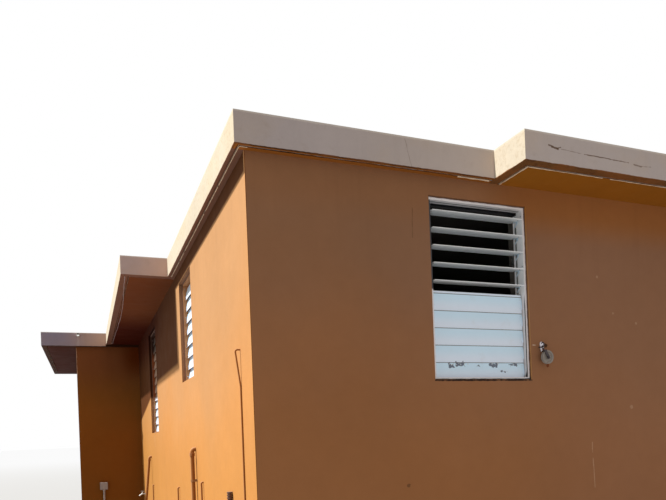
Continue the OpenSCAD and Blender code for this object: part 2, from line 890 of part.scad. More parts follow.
// Strap: ring round the hook, cross plate and two cheeks with the axle between them
module pulley_strap() {
    ring_r = 9;
    wire = 4;
    plate_w = 18;
    ring_z = hook_d / 2 + seat - ring_r + wire / 2;
    plate_z = -wheel_drop + pulley_d / 2 + 4;
    cheek_y = wheel_t / 2 + 1;
    cheek_foot = -wheel_drop - 12;
    at_hook() rotate([0, -swing, 0]) {
        translate([0, 0, ring_z]) rotate([90, 0, 0]) rotate_extrude() translate([ring_r, 0]) circle(d = wire);
        translate([0, 0, plate_z]) cylinder(d = 8, h = ring_z - ring_r - plate_z);
        translate([-plate_w / 2, -cheek_y - strap_t, plate_z])
            cube([plate_w, 2 * (cheek_y + strap_t), strap_t]);
        for (y = [-cheek_y - strap_t, cheek_y]) translate([-plate_w / 2, y, cheek_foot])
            cube([plate_w, strap_t, plate_z + strap_t - cheek_foot]);
        translate([0, cheek_y + strap_t + 2, -wheel_drop]) rotate([90, 0, 0])
            cylinder(d = 8, h = 2 * (cheek_y + strap_t + 2));
    }
}

// Wheel with a V groove, a hub and a thinner web
module pulley_wheel() {
    rim = pulley_d / 2;
    half = wheel_t / 2;
    bore = 4 + seat;
    hub = 11;
    groove = 8;
    web = rim - groove - 5;
    at_hook() rotate([0, -swing, 0]) translate([0, 0, -wheel_drop]) rotate([90, 0, 0]) rotate_extrude()
        polygon([
            [bore, -half], [hub, -half], [hub, -half / 2], [web, -half / 2], [web + 3, -half],
            [rim, -half], [rim - groove, 0], [rim, half], [web + 3, half], [web, half / 2],
            [hub, half / 2], [hub, half], [bore, half]
        ]);
}

floor_slab();
front_wall();
left_wall();
right_wall();
left_wing_front_wall();
right_wing_front_wall();
left_wing_side_wall();
right_wing_side_wall();
rear_wall_left();
rear_wall_right();
rear_wall_lintel();
front_roof();
rear_roof();
roof_spouts();
front_window_frames();
front_window_blades();
front_window_links();
front_window_cranks();
left_window_frames();
left_window_blades();
left_window_links();
left_window_cranks();
right_window_frames();
right_window_blades();
right_window_links();
right_window_cranks();
rear_window_frames();
rear_window_blades();
rear_window_links();
rear_window_cranks();
door_frame();
door_leaf();
door_hinges();
door_handles();
waste_pipe();
conduit();
thin_pipes();
water_riser();
capped_riser();
pipe_straps();
garden_tap();
outlet_box();
pulley_hook();
pulley_strap();
pulley_wheel();
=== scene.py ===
"""Flat-roofed concrete house: finishes, small pieces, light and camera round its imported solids."""

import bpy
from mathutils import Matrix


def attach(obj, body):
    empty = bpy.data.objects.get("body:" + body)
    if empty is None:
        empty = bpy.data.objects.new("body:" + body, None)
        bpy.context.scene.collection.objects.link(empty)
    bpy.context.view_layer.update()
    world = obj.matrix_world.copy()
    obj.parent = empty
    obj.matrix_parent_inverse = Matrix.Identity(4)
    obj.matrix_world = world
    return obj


bl_info = {
    "name": "Flat-roofed concrete house",
    "version": (1, 0, 0),
    "blender": (4, 5, 0),
    "location": "3D View > Sidebar > House",
    "description": "Paints the house, adds its small pieces and sets up the studio",
    "category": "Object",
}

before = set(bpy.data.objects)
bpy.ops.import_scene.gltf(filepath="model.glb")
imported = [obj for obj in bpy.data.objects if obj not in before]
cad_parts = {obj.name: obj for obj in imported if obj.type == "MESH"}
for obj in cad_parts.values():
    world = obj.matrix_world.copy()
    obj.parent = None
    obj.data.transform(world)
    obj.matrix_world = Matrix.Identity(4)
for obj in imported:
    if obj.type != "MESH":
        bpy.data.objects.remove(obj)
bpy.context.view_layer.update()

import math
import random

import bmesh
import bpy
from mathutils import Matrix, Vector

# Sizes repeated from the part's source, in metres. House Y starts at the front wall's outer face.
MID_Y = 5.4825
HALF_W = 3.8
WING_X = 4.7
FRONT_L = 6.965
REAR_FACE = 10.965
SOFFIT_Z = 2.9
REAR_SOFFIT_Z = 2.87
ROOF_TOP = 3.07
HEAD_Z = 2.786
ROOF_STEP = 6.9
STEP_FRONT = 1.5
STEP_SIDE = 2.65
EAVE_SMALL = 0.065
EAVE_FRONT = 0.34
EAVE_SIDE = 0.47
DRIP_IN = 0.062
DRIP_IN_SMALL = 0.018
DRIP_W = 0.014
WALL_T = 0.175
WALL_MIDDLE = 0.1
FRONT_WIN_W = 0.69
REAR_WIN_W = 0.82
REVEAL = 0.016
FRAME_FACE = 0.018
SIDE_REVEAL = 0.033
PIVOT_DEPTH = 0.04452
PIVOT_OFF = 0.0145
FOOT_Z = 0.061
HEAD_GAP = 0.089
BLADE_STEP = 0.102
BLADE_W = 0.113
BLADE_T = 0.0026
BLADE_CURL = 0.0028
BLADE_END_IN = 0.0242
BLADE_LOW = 0.0553
LIP_IN = 0.0008
RIVET_IN = 0.011
RIVET_OFF = 0.026
CLOSED_LEAN = math.radians(5)
SIDE_LEAN = math.radians(13)
OPEN_LEAN = math.radians(88)
WASTE_Y = 1.862
WASTE_OFF = 0.0305
WASTE_COLLAR_Z = 1.2905
WASTE_COLLAR_R = 0.02
HOOK = Vector((-1.969, -0.034, 1.915))
SWING = math.radians(28)
WHEEL_DROP = 0.072

# Way along a window's width as seen from outside, and its outward direction
FRONT = (Vector((1, 0, 0)), Vector((0, -1, 0)))
LEFT = (Vector((0, -1, 0)), Vector((-1, 0, 0)))
RIGHT = (Vector((0, 1, 0)), Vector((1, 0, 0)))
REAR = (Vector((-1, 0, 0)), Vector((0, 1, 0)))


def at(x, y, z):
    """A point given in house coordinates, in the part's own frame."""
    return Vector((x, y - MID_Y, z))


def window(facing, x, y, width, blades, opened=0, set_back=REVEAL, lean=CLOSED_LEAN):
    """One window: the foot of its left jamb on the wall's face, its size, and how its blades stand."""
    sill = HEAD_Z - (blades - 1) * BLADE_STEP - FOOT_Z - HEAD_GAP
    along, out = facing
    return {"along": along, "out": out, "foot": at(x, y, sill), "width": width, "height": HEAD_Z - sill,
            "blades": blades, "opened": opened, "set_back": set_back, "lean": lean}


FRONT_WINDOWS = [window(FRONT, x, 0, FRONT_WIN_W, 10, 5) for x in (-2.72, -0.345, 2.03)]
# Windows of a side: distances of both jambs from the front, the wall's face, and the number of blades
SIDE_WINDOWS = ((1.82, 2.44, HALF_W, 8), (4.49, 5.31, HALF_W, 12), (8.555, 9.375, WING_X, 12))
WINDOWS = list(FRONT_WINDOWS)
for lo, hi, face, count in SIDE_WINDOWS:
    WINDOWS.append(window(LEFT, -face, hi, hi - lo, count, 0, SIDE_REVEAL, SIDE_LEAN))
    WINDOWS.append(window(RIGHT, face, lo, hi - lo, count, 0, SIDE_REVEAL, SIDE_LEAN))
WINDOWS += [window(REAR, x, REAR_FACE, REAR_WIN_W, 12) for x in (-2.29, 3.11)]
# Foot of the front windows, and the height above which their blades stand open
FRONT_FOOT = FRONT_WINDOWS[0]["foot"].z
OPEN_Z = FRONT_FOOT + 0.54


def on_window(win, along, up, depth):
    """Point of a window: along its width, up from its foot, depth behind the front of its frame."""
    return win["foot"] + win["along"] * along - win["out"] * (win["set_back"] + depth) + Vector((0, 0, up))


def blade_face(win, index, along, s, side=-1):
    """Point on a blade's outer (side -1) or inner face at height s from its middle, and its normal."""
    is_open = index >= win["blades"] - win["opened"]
    lean = OPEN_LEAN if is_open else win["lean"]
    depth = -PIVOT_OFF - BLADE_CURL * math.sin(math.pi * s / BLADE_W) + side * BLADE_T / 2
    y = depth * math.cos(lean) + s * math.sin(lean)
    z = -depth * math.sin(lean) + s * math.cos(lean)
    place = on_window(win, along, FOOT_Z + index * BLADE_STEP + z, PIVOT_DEPTH + y)
    normal = -win["out"] * side * math.cos(lean) + Vector((0, 0, -side * math.sin(lean)))
    return place, normal


# Node trees

class Graph:
    """Builds a node tree in short steps."""

    def __init__(self, tree):
        self.tree = tree

    def node(self, kind, inputs=None, **settings):
        made = self.tree.nodes.new(kind)
        for key, value in settings.items():
            setattr(made, key, value)
        for key, value in (inputs or {}).items():
            self.feed(made.inputs[key], value)
        return made

    def made(self, kind, inputs=None, **settings):
        """A new node's first output."""
        return self.node(kind, inputs, **settings).outputs[0]

    def feed(self, socket, value):
        """Links an output to a socket, or sets the socket to a plain value."""
        if isinstance(value, bpy.types.NodeSocket):
            self.tree.links.new(value, socket)
        elif socket.type == "RGBA":
            socket.default_value = (*tuple(value)[:3], 1)
        else:
            socket.default_value = value

    def math(self, operation, a, b=0.0, c=0.0, clamp=False):
        return self.made("ShaderNodeMath", {0: a, 1: b, 2: c}, operation=operation, use_clamp=clamp)

    def fold(self, operation, values):
        """Takes the values two by two through an operation."""
        result = values[0]
        for value in values[1:]:
            result = self.math(operation, result, value)
        return result

    def times(self, *values):
        return self.fold("MULTIPLY", values)

    def least(self, *values):
        return self.fold("MINIMUM", values)

    def most(self, *values):
        return self.fold("MAXIMUM", values)

    def add(self, a, b):
        return self.math("ADD", a, b)

    def minus(self, a, b):
        return self.math("SUBTRACT", a, b)

    def ratio(self, a, b):
        return self.math("DIVIDE", a, b)

    def times_add(self, value, factor, base):
        return self.math("MULTIPLY_ADD", value, factor, base)

    def size(self, value):
        return self.math("ABSOLUTE", value)

    def above(self, value, limit):
        return self.math("GREATER_THAN", value, limit)

    def below(self, value, limit):
        return self.math("LESS_THAN", value, limit)

    def invert(self, mask):
        return self.minus(1.0, mask)

    def ramp(self, value, low, high, out_low=0.0, out_high=1.0):
        """Smooth step from out_low at low to out_high at high."""
        return self.made("ShaderNodeMapRange", {
            "Value": value, "From Min": low, "From Max": high, "To Min": out_low, "To Max": out_high
        }, interpolation_type="SMOOTHSTEP")

    def vector(self, operation, a, b=(0, 0, 0), output=0):
        return self.node("ShaderNodeVectorMath", {0: a, 1: b}, operation=operation).outputs[output]

    def split(self, value):
        return self.node("ShaderNodeSeparateXYZ", {0: value}).outputs

    def combine(self, x, y, z):
        return self.made("ShaderNodeCombineXYZ", {0: x, 1: y, 2: z})

    def noise(self, place, scale, detail=2.0, roughness=0.5, stretch=None):
        if stretch:
            place = self.vector("MULTIPLY", place, stretch)
        return self.made("ShaderNodeTexNoise", {
            "Vector": place, "Scale": scale, "Detail": detail, "Roughness": roughness})

    def drift(self, place, scale, detail=2.0, roughness=0.5):
        """Noise that swings about zero."""
        return self.add(self.noise(place, scale, detail, roughness), -0.5)

    def shake(self, place, scale, detail, roughness=0.5):
        """Vector noise that swings about zero."""
        made = self.node("ShaderNodeTexNoise", {
            "Vector": place, "Scale": scale, "Detail": detail, "Roughness": roughness})
        return self.vector("SUBTRACT", made.outputs["Color"], (0.5, 0.5, 0.5))

    def mix(self, factor, a, b, blend="MIX"):
        return self.node("ShaderNodeMix", {0: factor, 6: a, 7: b}, data_type="RGBA",
                         blend_type=blend).outputs[2]

    def multiplied(self, colour, by):
        return self.mix(1.0, colour, by, "MULTIPLY")

    def tinted(self, mask, colour, by):
        """The colour, multiplied by another where the mask is 1."""
        return self.mix(mask, colour, self.multiplied(colour, by))

    def scaled(self, colour, value):
        """The colour or vector made larger or smaller by a value."""
        return self.made("ShaderNodeVectorMath", {0: colour, "Scale": value}, operation="SCALE")

    def use(self, name, place, **values):
        """Places a shared group at a position, with its values."""
        made = self.node("ShaderNodeGroup", node_tree=bpy.data.node_groups[name])
        for key, value in {"Position": place, **values}.items():
            self.feed(made.inputs[key], value)
        return made.outputs[0]

    def place(self):
        return self.node("ShaderNodeTexCoord").outputs["Object"]

    def normal(self):
        return self.node("ShaderNodeNewGeometry").outputs["Normal"]

    def bump(self, height):
        """Normal of a surface whose height is given in metres."""
        return self.made("ShaderNodeBump", {"Height": height, "Distance": 1.0, "Strength": 1.0})


def shader_group(name, output, **inputs):
    """Starts a shared group; returns its graph, its Position, all its inputs and its output socket."""
    tree = bpy.data.node_groups.new(name, "ShaderNodeTree")
    for label, default in {"Position": (0, 0, 0), **inputs}.items():
        kind = "NodeSocketFloat" if isinstance(default, (int, float)) else "NodeSocketVector"
        tree.interface.new_socket(label, in_out="INPUT", socket_type=kind).default_value = default
    tree.interface.new_socket(output, in_out="OUTPUT", socket_type="NodeSocketFloat")
    g = Graph(tree)
    given = g.node("NodeGroupInput").outputs
    return g, given["Position"], given, g.node("NodeGroupOutput").inputs[0]


def group_rooms():
    """1 inside the house, from about the middle of its walls' thickness."""
    g, place, _, out = shader_group("rooms", "Inside")
    x, y, z = g.split(place)
    wide = g.size(x)

    def box(half, low, high):
        middle, reach = (low + high) / 2 - MID_Y, (high - low) / 2
        return g.most(g.add(wide, -half), g.add(g.size(g.add(y, -middle)), -reach))

    front = box(HALF_W - WALL_MIDDLE, WALL_MIDDLE, FRONT_L + WALL_T)
    rear = box(WING_X - WALL_MIDDLE, FRONT_L + WALL_MIDDLE, REAR_FACE - WALL_MIDDLE)
    plan = g.below(g.least(front, rear), 0.0)
    g.feed(out, g.times(plan, g.below(z, SOFFIT_Z + 0.02)))


def group_edge_distance():
    """How far a point of the roof lies inside the roof's outline."""
    g, place, _, out = shader_group("edge_distance", "Distance")
    x, y, _ = g.split(place)
    wide = g.size(x)

    def block(half, low, high):
        return g.most(g.add(wide, -half), g.minus(low - MID_Y, y), g.add(y, MID_Y - high))

    overlap = ROOF_STEP + 0.3
    outside = g.least(
        block(HALF_W + EAVE_SMALL, -EAVE_SMALL, overlap),
        block(HALF_W - STEP_FRONT, -EAVE_FRONT, overlap),
        block(HALF_W + EAVE_SIDE, STEP_SIDE, overlap),
        block(WING_X + EAVE_SIDE, ROOF_STEP, REAR_FACE + EAVE_SMALL),
        block(WING_X - STEP_FRONT, ROOF_STEP, REAR_FACE + EAVE_FRONT))
    g.feed(out, g.times(outside, -1.0))


def group_mottling():
    """Value round 1 that drifts over a painted surface."""
    g, place, given, out = shader_group("mottling", "Value", Scale=1.0, Contrast=0.1)
    broad = g.noise(place, given["Scale"], 4.0, 0.55)
    fine = g.noise(place, g.times(given["Scale"], 9.0), 3.0, 0.6)
    blend = g.add(g.times(broad, 1.5), g.times(fine, 0.5))
    g.feed(out, g.times_add(g.add(blend, -1.0), given["Contrast"], 1.0))


def group_roller_stipple():
    """Height in metres of a roller's stipple over trowelled plaster."""
    g, place, given, out = shader_group("roller_stipple", "Height", Stipple=0.0005, Waves=0.003)
    nap = g.noise(place, 130.0, 3.0, 0.6)
    trowel = g.noise(place, 2.3, 2.0, 0.5)
    float_marks = g.noise(place, 7.5, 3.0, 0.55, stretch=(1, 1, 0.6))
    rough = g.noise(place, 22.0, 3.0, 0.55)
    waves = g.times(g.add(trowel, g.times(float_marks, 0.45)), given["Waves"])
    height = g.add(g.times(nap, given["Stipple"]), waves)
    g.feed(out, g.add(height, g.times(rough, g.times(given["Stipple"], 1.6))))


def group_rain_streaks():
    """Upright streaks, 1 where one runs."""
    g, place, given, out = shader_group("rain_streaks", "Streak", Width=0.05, Length=0.8)
    narrow = g.ratio(1.0, given["Width"])
    scale = g.combine(narrow, narrow, g.ratio(1.0, given["Length"]))
    run = g.noise(g.vector("MULTIPLY", place, scale), 1.0, 3.0, 0.6)
    g.feed(out, g.ramp(run, 0.5, 0.68))


def group_splash():
    """1 at the foot of a wall, fading upwards with a ragged edge."""
    g, place, given, out = shader_group("splash", "Mask", Height=0.25)
    ragged = g.times(g.drift(place, 5.0, 4.0, 0.6), 1.4)
    g.feed(out, g.ramp(g.add(g.ratio(g.split(place)[2], given["Height"]), ragged), 1.0, 0.1))


def group_hairline():
    """A wandering crack or drip between two points."""
    g, place, given, out = shader_group(
        "hairline", "Mask", Start=(0, 0, 0), End=(0, 0, 1), Width=0.003, Wander=0.01)
    moved = g.vector("ADD", place, g.scaled(g.shake(place, 9.0, 5.0, 0.65), given["Wander"]))
    span = g.vector("SUBTRACT", given["End"], given["Start"])
    reach = g.vector("SUBTRACT", moved, given["Start"])
    along, whole = g.vector("DOT_PRODUCT", reach, span, 1), g.vector("DOT_PRODUCT", span, span, 1)
    share = g.math("DIVIDE", along, whole, clamp=True)
    gap = g.vector("LENGTH", g.vector("SUBTRACT", reach, g.scaled(span, share)), output=1)
    width = g.times(given["Width"], g.ramp(g.noise(place, 28.0, 2.0), 0.3, 0.6, 0.35, 1.0))
    g.feed(out, g.ramp(g.ratio(gap, width), 1.0, 0.4))


def group_spot():
    """A chip, stain or patch with a ragged edge round a point."""
    g, place, given, out = shader_group("spot", "Mask", Centre=(0, 0, 0), Radius=0.02, Ragged=0.4)
    near = g.ratio(g.vector("DISTANCE", place, given["Centre"], 1), given["Radius"])
    fine = g.scaled(place, g.ratio(1.2, given["Radius"]))
    edge = g.times(g.drift(fine, 1.0, 4.0, 0.6), g.times(given["Ragged"], 3.0))
    g.feed(out, g.ramp(g.add(near, edge), 1.1, 0.8))


def group_dust():
    """Dust that lies on faces that look up."""
    g, place, given, out = shader_group("dust", "Mask", Normal=(0, 0, 1), Amount=0.5)
    up = g.ramp(g.split(given["Normal"])[2], 0.2, 0.9)
    patch = g.ramp(g.noise(place, 30.0, 4.0, 0.6), 0.3, 0.7, 0.5, 1.0)
    g.feed(out, g.times(up, patch, given["Amount"]))


def group_worn():
    """Small patches where a coat has worn or flaked away."""
    g, place, given, out = shader_group("worn", "Mask", Scale=60.0, Share=0.2)
    patch = g.noise(place, given["Scale"], 5.0, 0.65)
    limit = g.minus(0.78, g.times(given["Share"], 0.5))
    g.feed(out, g.ramp(g.minus(patch, limit), -0.01, 0.02))


GROUPS = (group_rooms, group_edge_distance, group_mottling, group_roller_stipple, group_rain_streaks,
          group_splash, group_hairline, group_spot, group_dust, group_worn)


def group_ready():
    """Builds the shared node groups once."""
    for build in GROUPS:
        if build.__name__.replace("group_", "") not in bpy.data.node_groups:
            build()


def new_material(name):
    """A material with one Principled BSDF, its graph, and the shader's inputs."""
    group_ready()
    material = bpy.data.materials.new(name)
    material.use_nodes = True
    g = Graph(material.node_tree)
    g.tree.nodes.clear()
    shader = g.node("ShaderNodeBsdfPrincipled")
    g.feed(g.node("ShaderNodeOutputMaterial").inputs["Surface"], shader.outputs[0])
    return material, g, shader.inputs


def put_on(material, *names):
    """Gives CAD nodes a material."""
    for name in names:
        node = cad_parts[name]
        node.data.materials.clear()
        node.data.materials.append(material)


# Wall paint

PALE = (0.62, 0.40, 0.26)
DARK = (0.10, 0.045, 0.022)
RUST = (0.17, 0.04, 0.014)
# Painted shadow of the pulley hook on the wall
HOOK_SHADOW = (0.035, 0.014, 0.006)
GAP_SHADE = (0.010, 0.009, 0.011)
SMEAR = (0.66, 0.48, 0.36)
BARE_PLASTER = (0.72, 0.48, 0.30)

# Chips and stains of the walls, and a painted shadow beside the pulley hook: centre, radius, raggedness,
# strength, colour
WALL_SPOTS = (
    ((-1.476, 0, 2.383), 0.009, 0.5, 0.3, PALE),
    ((-1.35, 0, 2.15), 0.008, 0.5, 0.3, PALE),
    ((-1.15, 0, 2.09), 0.009, 0.5, 0.3, PALE),
    ((-1.22, 0, 1.53), 0.014, 0.5, 0.3, PALE),
    ((-2.92, 0, 1.12), 0.012, 0.5, 0.6, DARK),
    ((-1.905, 0, 1.803), 0.011, 0.6, 0.85, RUST),
    ((-1.916, 0, 1.928), 0.013, 0.5, 0.85, HOOK_SHADOW),
)
# Scratches, drips and hairline cracks of the walls: start, end, width, wander, strength, colour
WALL_LINES = (
    ((-2.015, 0, 1.931), (-1.992, 0, 1.93), 0.006, 0.006, 0.8, SMEAR),
    ((-HALF_W, 4.98, 1.47), (-HALF_W, 4.985, 1.35), 0.012, 0.02, 0.5, BARE_PLASTER),
    ((-1.57, 0, 1.31), (-1.56, 0, 1.02), 0.006, 0.02, 0.4, PALE),
    ((-2.83, 0, 2.70), (-2.835, 0, 2.53), 0.004, 0.01, 0.45, DARK),
    ((-2.19, 0, 2.745), (-2.13, 0, 2.742), 0.004, 0.006, 0.6, DARK),
    ((-WING_X, FRONT_L, 2.84), (-WING_X, FRONT_L, 2.45), 0.014, 0.012, 0.6, PALE),
)
# Height of the shade's foot on the left wall, and how it falls towards the rear
SHADE_FOOT = 2.09
SHADE_FALL = -0.153


def spotted(g, place, colour, centre, radius, ragged, strength, shade):
    """The colour with a chip or stain round a point in house coordinates."""
    mask = g.use("spot", place, Centre=at(*centre), Radius=radius, Ragged=ragged)
    return g.mix(g.times(mask, strength), colour, shade)


def lined(g, place, colour, start, end, width, wander, strength, shade):
    """The colour with a crack, scratch or drip between two points in house coordinates."""
    mask = g.use("hairline", place, Start=at(*start), End=at(*end), Width=width, Wander=wander)
    return g.mix(g.times(mask, strength), colour, shade)


def painted_plaster(g, shader, place, colour, roughness, stipple, waves):
    """Feeds a matte paint, rolled over trowelled plaster, to the shader."""
    g.feed(shader["Base Color"], colour)
    g.feed(shader["Roughness"], g.ramp(g.noise(place, 6.0, 3.0), 0.3, 0.7, *roughness))
    shader["Specular IOR Level"].default_value = 0.08
    g.feed(shader["Normal"], g.bump(g.use("roller_stipple", place, Stipple=stipple, Waves=waves)))


def unfaded_corner(g, place, colour, sideways):
    """Painted shade on the wing walls' fronts: darker and warmer, deepest high near the inner corner."""
    x, y, z = g.split(place)
    wide = g.size(x)
    nook = g.times(g.ramp(wide, HALF_W - 0.006, HALF_W), g.below(y, FRONT_L + 0.01 - MID_Y),
                   g.invert(sideways))
    tint = g.mix(g.ramp(z, 0.6, 2.0), (0.51, 0.41, 0.145), (0.67, 0.51, 0.172))
    tint = g.mix(g.ramp(z, 2.0, 2.7), tint, (0.67, 0.44, 0.26))
    corner = g.times(g.ramp(wide, 4.15, 3.85), g.ramp(z, 2.3, 2.7))
    return g.tinted(nook, colour, g.mix(corner, tint, (0.458, 0.171, 0.016)))


def sheltered_wall(g, place, colour, on_side):
    """Painted shadow of the deep overhang on the left wall, high up and darkest towards the rear, and of the
    small overhang along its top.
    """
    x, y, z = g.split(place)
    step = STEP_SIDE - MID_Y
    foot = g.least(SHADE_FOOT, g.times_add(g.add(y, 1.1), SHADE_FALL, SHADE_FOOT))
    shadow_mask = g.times(g.ramp(g.minus(z, foot), 0.0, 0.05), g.ramp(y, step + 0.01, step + 0.05))
    shadow_mask = g.most(shadow_mask, g.ramp(z, 2.79, 2.81))
    deep = g.times(g.ramp(y, 3.4 - MID_Y, 4.9 - MID_Y), g.ramp(z, 2.3, 2.75))
    tint = g.mix(deep, (0.205, 0.139, 0.104), (0.105, 0.033, 0.008))
    return g.tinted(g.times(on_side, shadow_mask, g.below(x, 0.0)), colour, tint)


def wall_material(paint):
    """Caramel masonry paint on plaster outside, plain paint in the rooms."""
    material, g, shader = new_material("wall_paint")
    place, normal = g.place(), g.normal()
    x, y, z = g.split(place)
    wide = g.size(x)
    # Painted light: the side walls take a lighter, sunlit copy of the wall paint, and the walls facing front
    # and rear the shaded one
    sideways = g.ramp(g.size(g.split(normal)[0]), 0.6, 0.8)
    colour = g.mix(sideways, paint.wall, paint.wall_painted_sunlight)
    # Painted light: warmer low down and cooler high up, for light bounced off the ground and light from the
    # sky
    height = g.add(z, g.times(g.drift(place, 0.8, 3.0), 1.6))
    painted_bounce = g.mix(g.ramp(x, -2.6, -1.2), (1.08, 0.97, 0.72), (1.05, 1.01, 0.92))
    colour = g.multiplied(colour, g.mix(g.ramp(height, 1.1, 2.7), painted_bounce, (0.94, 1.0, 1.06)))
    colour = unfaded_corner(g, place, colour, sideways)
    on_side = g.times(g.above(wide, HALF_W - 0.12), g.below(y, FRONT_L - 0.002 - MID_Y),
                      g.above(y, 0.02 - MID_Y))
    colour = sheltered_wall(g, place, colour, on_side)
    # Painted shade at the far end of a side wall, at its foot and high on the front wall near the left
    # corner, and painted warm light under the front overhang
    far = g.times(on_side, g.ramp(y, -2.0, 1.2))
    low = g.times(sideways, g.ramp(z, 1.9, 0.9))
    high = g.times(g.invert(sideways), g.ramp(z, 1.9, 2.6), g.ramp(x, -1.5, -3.2))
    step = HALF_W - STEP_FRONT
    warm = g.times(g.ramp(z, 2.55, 2.78), g.ramp(wide, step + 0.2, step - 0.3, 0.3, 1.0),
                   g.below(y, 0.01 - MID_Y))
    for mask, tint in ((far, (0.86, 0.87, 0.79)), (low, (0.88, 0.88, 0.74)), (high, (0.88, 0.89, 0.87)),
                       (warm, (1.15, 0.90, 0.50))):
        colour = g.tinted(mask, colour, tint)
    value = g.times(g.use("mottling", place, Scale=0.9, Contrast=0.16),
                    g.use("mottling", place, Scale=14.0, Contrast=0.05))
    streak = g.use("rain_streaks", place, Width=0.09, Length=0.9)
    value = g.times(value, g.times_add(g.times(streak, g.ramp(z, 2.0, 2.85)), -0.04, 1.0))
    colour = g.scaled(colour, value)
    colour = g.mix(g.times(g.use("splash", place, Height=0.32), 0.55), colour, (0.17, 0.105, 0.062))
    for spot in WALL_SPOTS:
        colour = spotted(g, place, colour, *spot)
    for line in WALL_LINES:
        colour = lined(g, place, colour, *line)
    for win in FRONT_WINDOWS:
        left, under = win["foot"].x, win["foot"].z - 0.005
        start, end = (left, 0, under), (left + win["width"], 0, under)
        colour = lined(g, place, colour, start, end, 0.007, 0.003, 0.95, GAP_SHADE)
    # Painted shade: the rooms take a dark paint, so that they look dark through the windows
    colour = g.mix(g.use("rooms", place), colour, paint.room)
    painted_plaster(g, shader, place, colour, (0.82, 0.94), 0.0006, 0.004)
    return material


# Roof paint

CRACK = (0.13, 0.075, 0.045)
WORN_FACE = (0.72, 0.64, 0.55)
DAMP_FACE = (0.30, 0.24, 0.19)
SMALL_FACE = -HALF_W - EAVE_SMALL
# Cracks and stains of the fascia: start, end, width, wander, strength, colour
ROOF_LINES = (
    ((-2.135, -EAVE_FRONT, 3.001), (-2.106, -EAVE_FRONT, 2.997), 0.007, 0.012, 0.8, CRACK),
    ((-2.112, -EAVE_FRONT, 2.993), (-2.072, -EAVE_FRONT, 2.988), 0.010, 0.014, 0.9, CRACK),
    ((-2.082, -EAVE_FRONT, 2.986), (-2.052, -EAVE_FRONT, 3.000), 0.006, 0.012, 0.8, CRACK),
    ((-2.05, -EAVE_FRONT, 2.990), (-1.90, -EAVE_FRONT, 2.984), 0.004, 0.014, 0.45, CRACK),
    ((-1.88, -EAVE_FRONT, 2.983), (-1.54, -EAVE_FRONT, 2.976), 0.005, 0.014, 0.8, CRACK),
    ((-1.50, -EAVE_FRONT, 2.972), (-1.44, -EAVE_FRONT, 2.966), 0.007, 0.014, 0.6, CRACK),
    ((-1.44, -EAVE_FRONT, 2.968), (-1.36, -EAVE_FRONT, 2.972), 0.004, 0.01, 0.45, CRACK),
    ((-0.4, -EAVE_FRONT, 2.978), (0.9, -EAVE_FRONT, 2.974), 0.004, 0.03, 0.5, CRACK),
    ((SMALL_FACE, 1.1, 3.06), (SMALL_FACE, 1.16, 2.905), 0.003, 0.02, 0.5, CRACK),
    ((-2.9, -EAVE_SMALL, 3.06), (-2.86, -EAVE_SMALL, 2.905), 0.0028, 0.02, 0.4, CRACK),
    ((-WING_X + 0.035, ROOF_STEP, 3.0), (-WING_X + 0.03, ROOF_STEP, 2.88), 0.03, 0.02, 0.12, WORN_FACE),
    ((WING_X - 0.035, ROOF_STEP, 3.0), (WING_X - 0.03, ROOF_STEP, 2.88), 0.03, 0.02, 0.45, DAMP_FACE),
)


class RoofZones:
    """Masks for the stretches of the roof's edge, which take different painted light and shade."""

    def __init__(self, g, place):
        x, y, _ = g.split(place)
        self.g = g
        self.wide = g.size(x)
        self.rear = g.above(y, ROOF_STEP - MID_Y - 0.001)
        self.deep_side = g.times(g.above(y, STEP_SIDE - MID_Y - 0.001), g.invert(self.rear))
        self.front = g.below(y, -MID_Y)
        self.deep_front = g.times(self.front, g.below(self.wide, HALF_W - STEP_FRONT + 0.001))
        self.small_front = g.minus(self.front, self.deep_front)

    def pick(self, plain, at_front, at_side, at_rear):
        """One colour for each deep stretch, and the plain one elsewhere."""
        shade = self.g.mix(self.deep_front, plain, at_front)
        return self.g.mix(self.rear, self.g.mix(self.deep_side, shade, at_side), at_rear)


def fascia_paint(g, place, paint, zones, sideways):
    """Cream paint with runs and dirt, and painted light and shade: a tint for each stretch on the faces that
    look front and rear, a lighter sunlit copy on the side edges, and a painted highlight along the top edge.
    """
    z = g.split(place)[2]
    wide = zones.wide
    # Painted light and shade: a tint for each stretch of the roof's edge
    painted_light = zones.pick(g.mix(g.ramp(wide, 2.3, 3.7), (0.98, 0.98, 1.0), (0.87, 0.89, 0.98)),
                      (0.99, 1.01, 1.08),
                      g.mix(g.ramp(wide, 3.9, 4.25), (1.06, 0.85, 0.80), (0.91, 0.82, 0.87)),
                      g.mix(g.ramp(wide, 4.3, 5.0), (0.88, 0.70, 0.64), (0.51, 0.525, 0.76)))
    # Painted light: the side edges take a lighter, sunlit copy of the cream paint
    fascia = g.mix(sideways, g.multiplied(paint.fascia, painted_light), paint.fascia_painted_sunlight)
    value = g.use("mottling", place, Scale=1.3, Contrast=0.16)
    runs = g.use("rain_streaks", place, Width=0.06, Length=0.4)
    fascia = g.scaled(fascia, g.times(value, g.times_add(runs, -0.025, 1.0)))
    warm = g.ramp(g.noise(place, 3.2, 4.0, 0.6), 0.45, 0.65)
    fascia = g.tinted(g.times(warm, 0.5), fascia, (1.03, 0.97, 0.86))
    dirt = g.ramp(g.noise(place, 11.0, 5.0, 0.65), 0.56, 0.72)
    fascia = g.mix(g.times(dirt, 0.16), fascia, (0.30, 0.22, 0.16))
    speckle = g.times(sideways, g.ramp(g.noise(place, 38.0, 4.0, 0.7), 0.48, 0.66))
    fascia = g.mix(g.times(speckle, 0.30), fascia, (0.40, 0.29, 0.17))
    # Painted highlight: a lighter band along the top edge of the fascia
    lip = g.ramp(g.add(z, g.times(g.drift(place, 14.0, 3.0), 0.012)), ROOF_TOP - 0.014, ROOF_TOP - 0.004)
    return g.mix(g.times(lip, 0.35), fascia, (0.80, 0.72, 0.60))


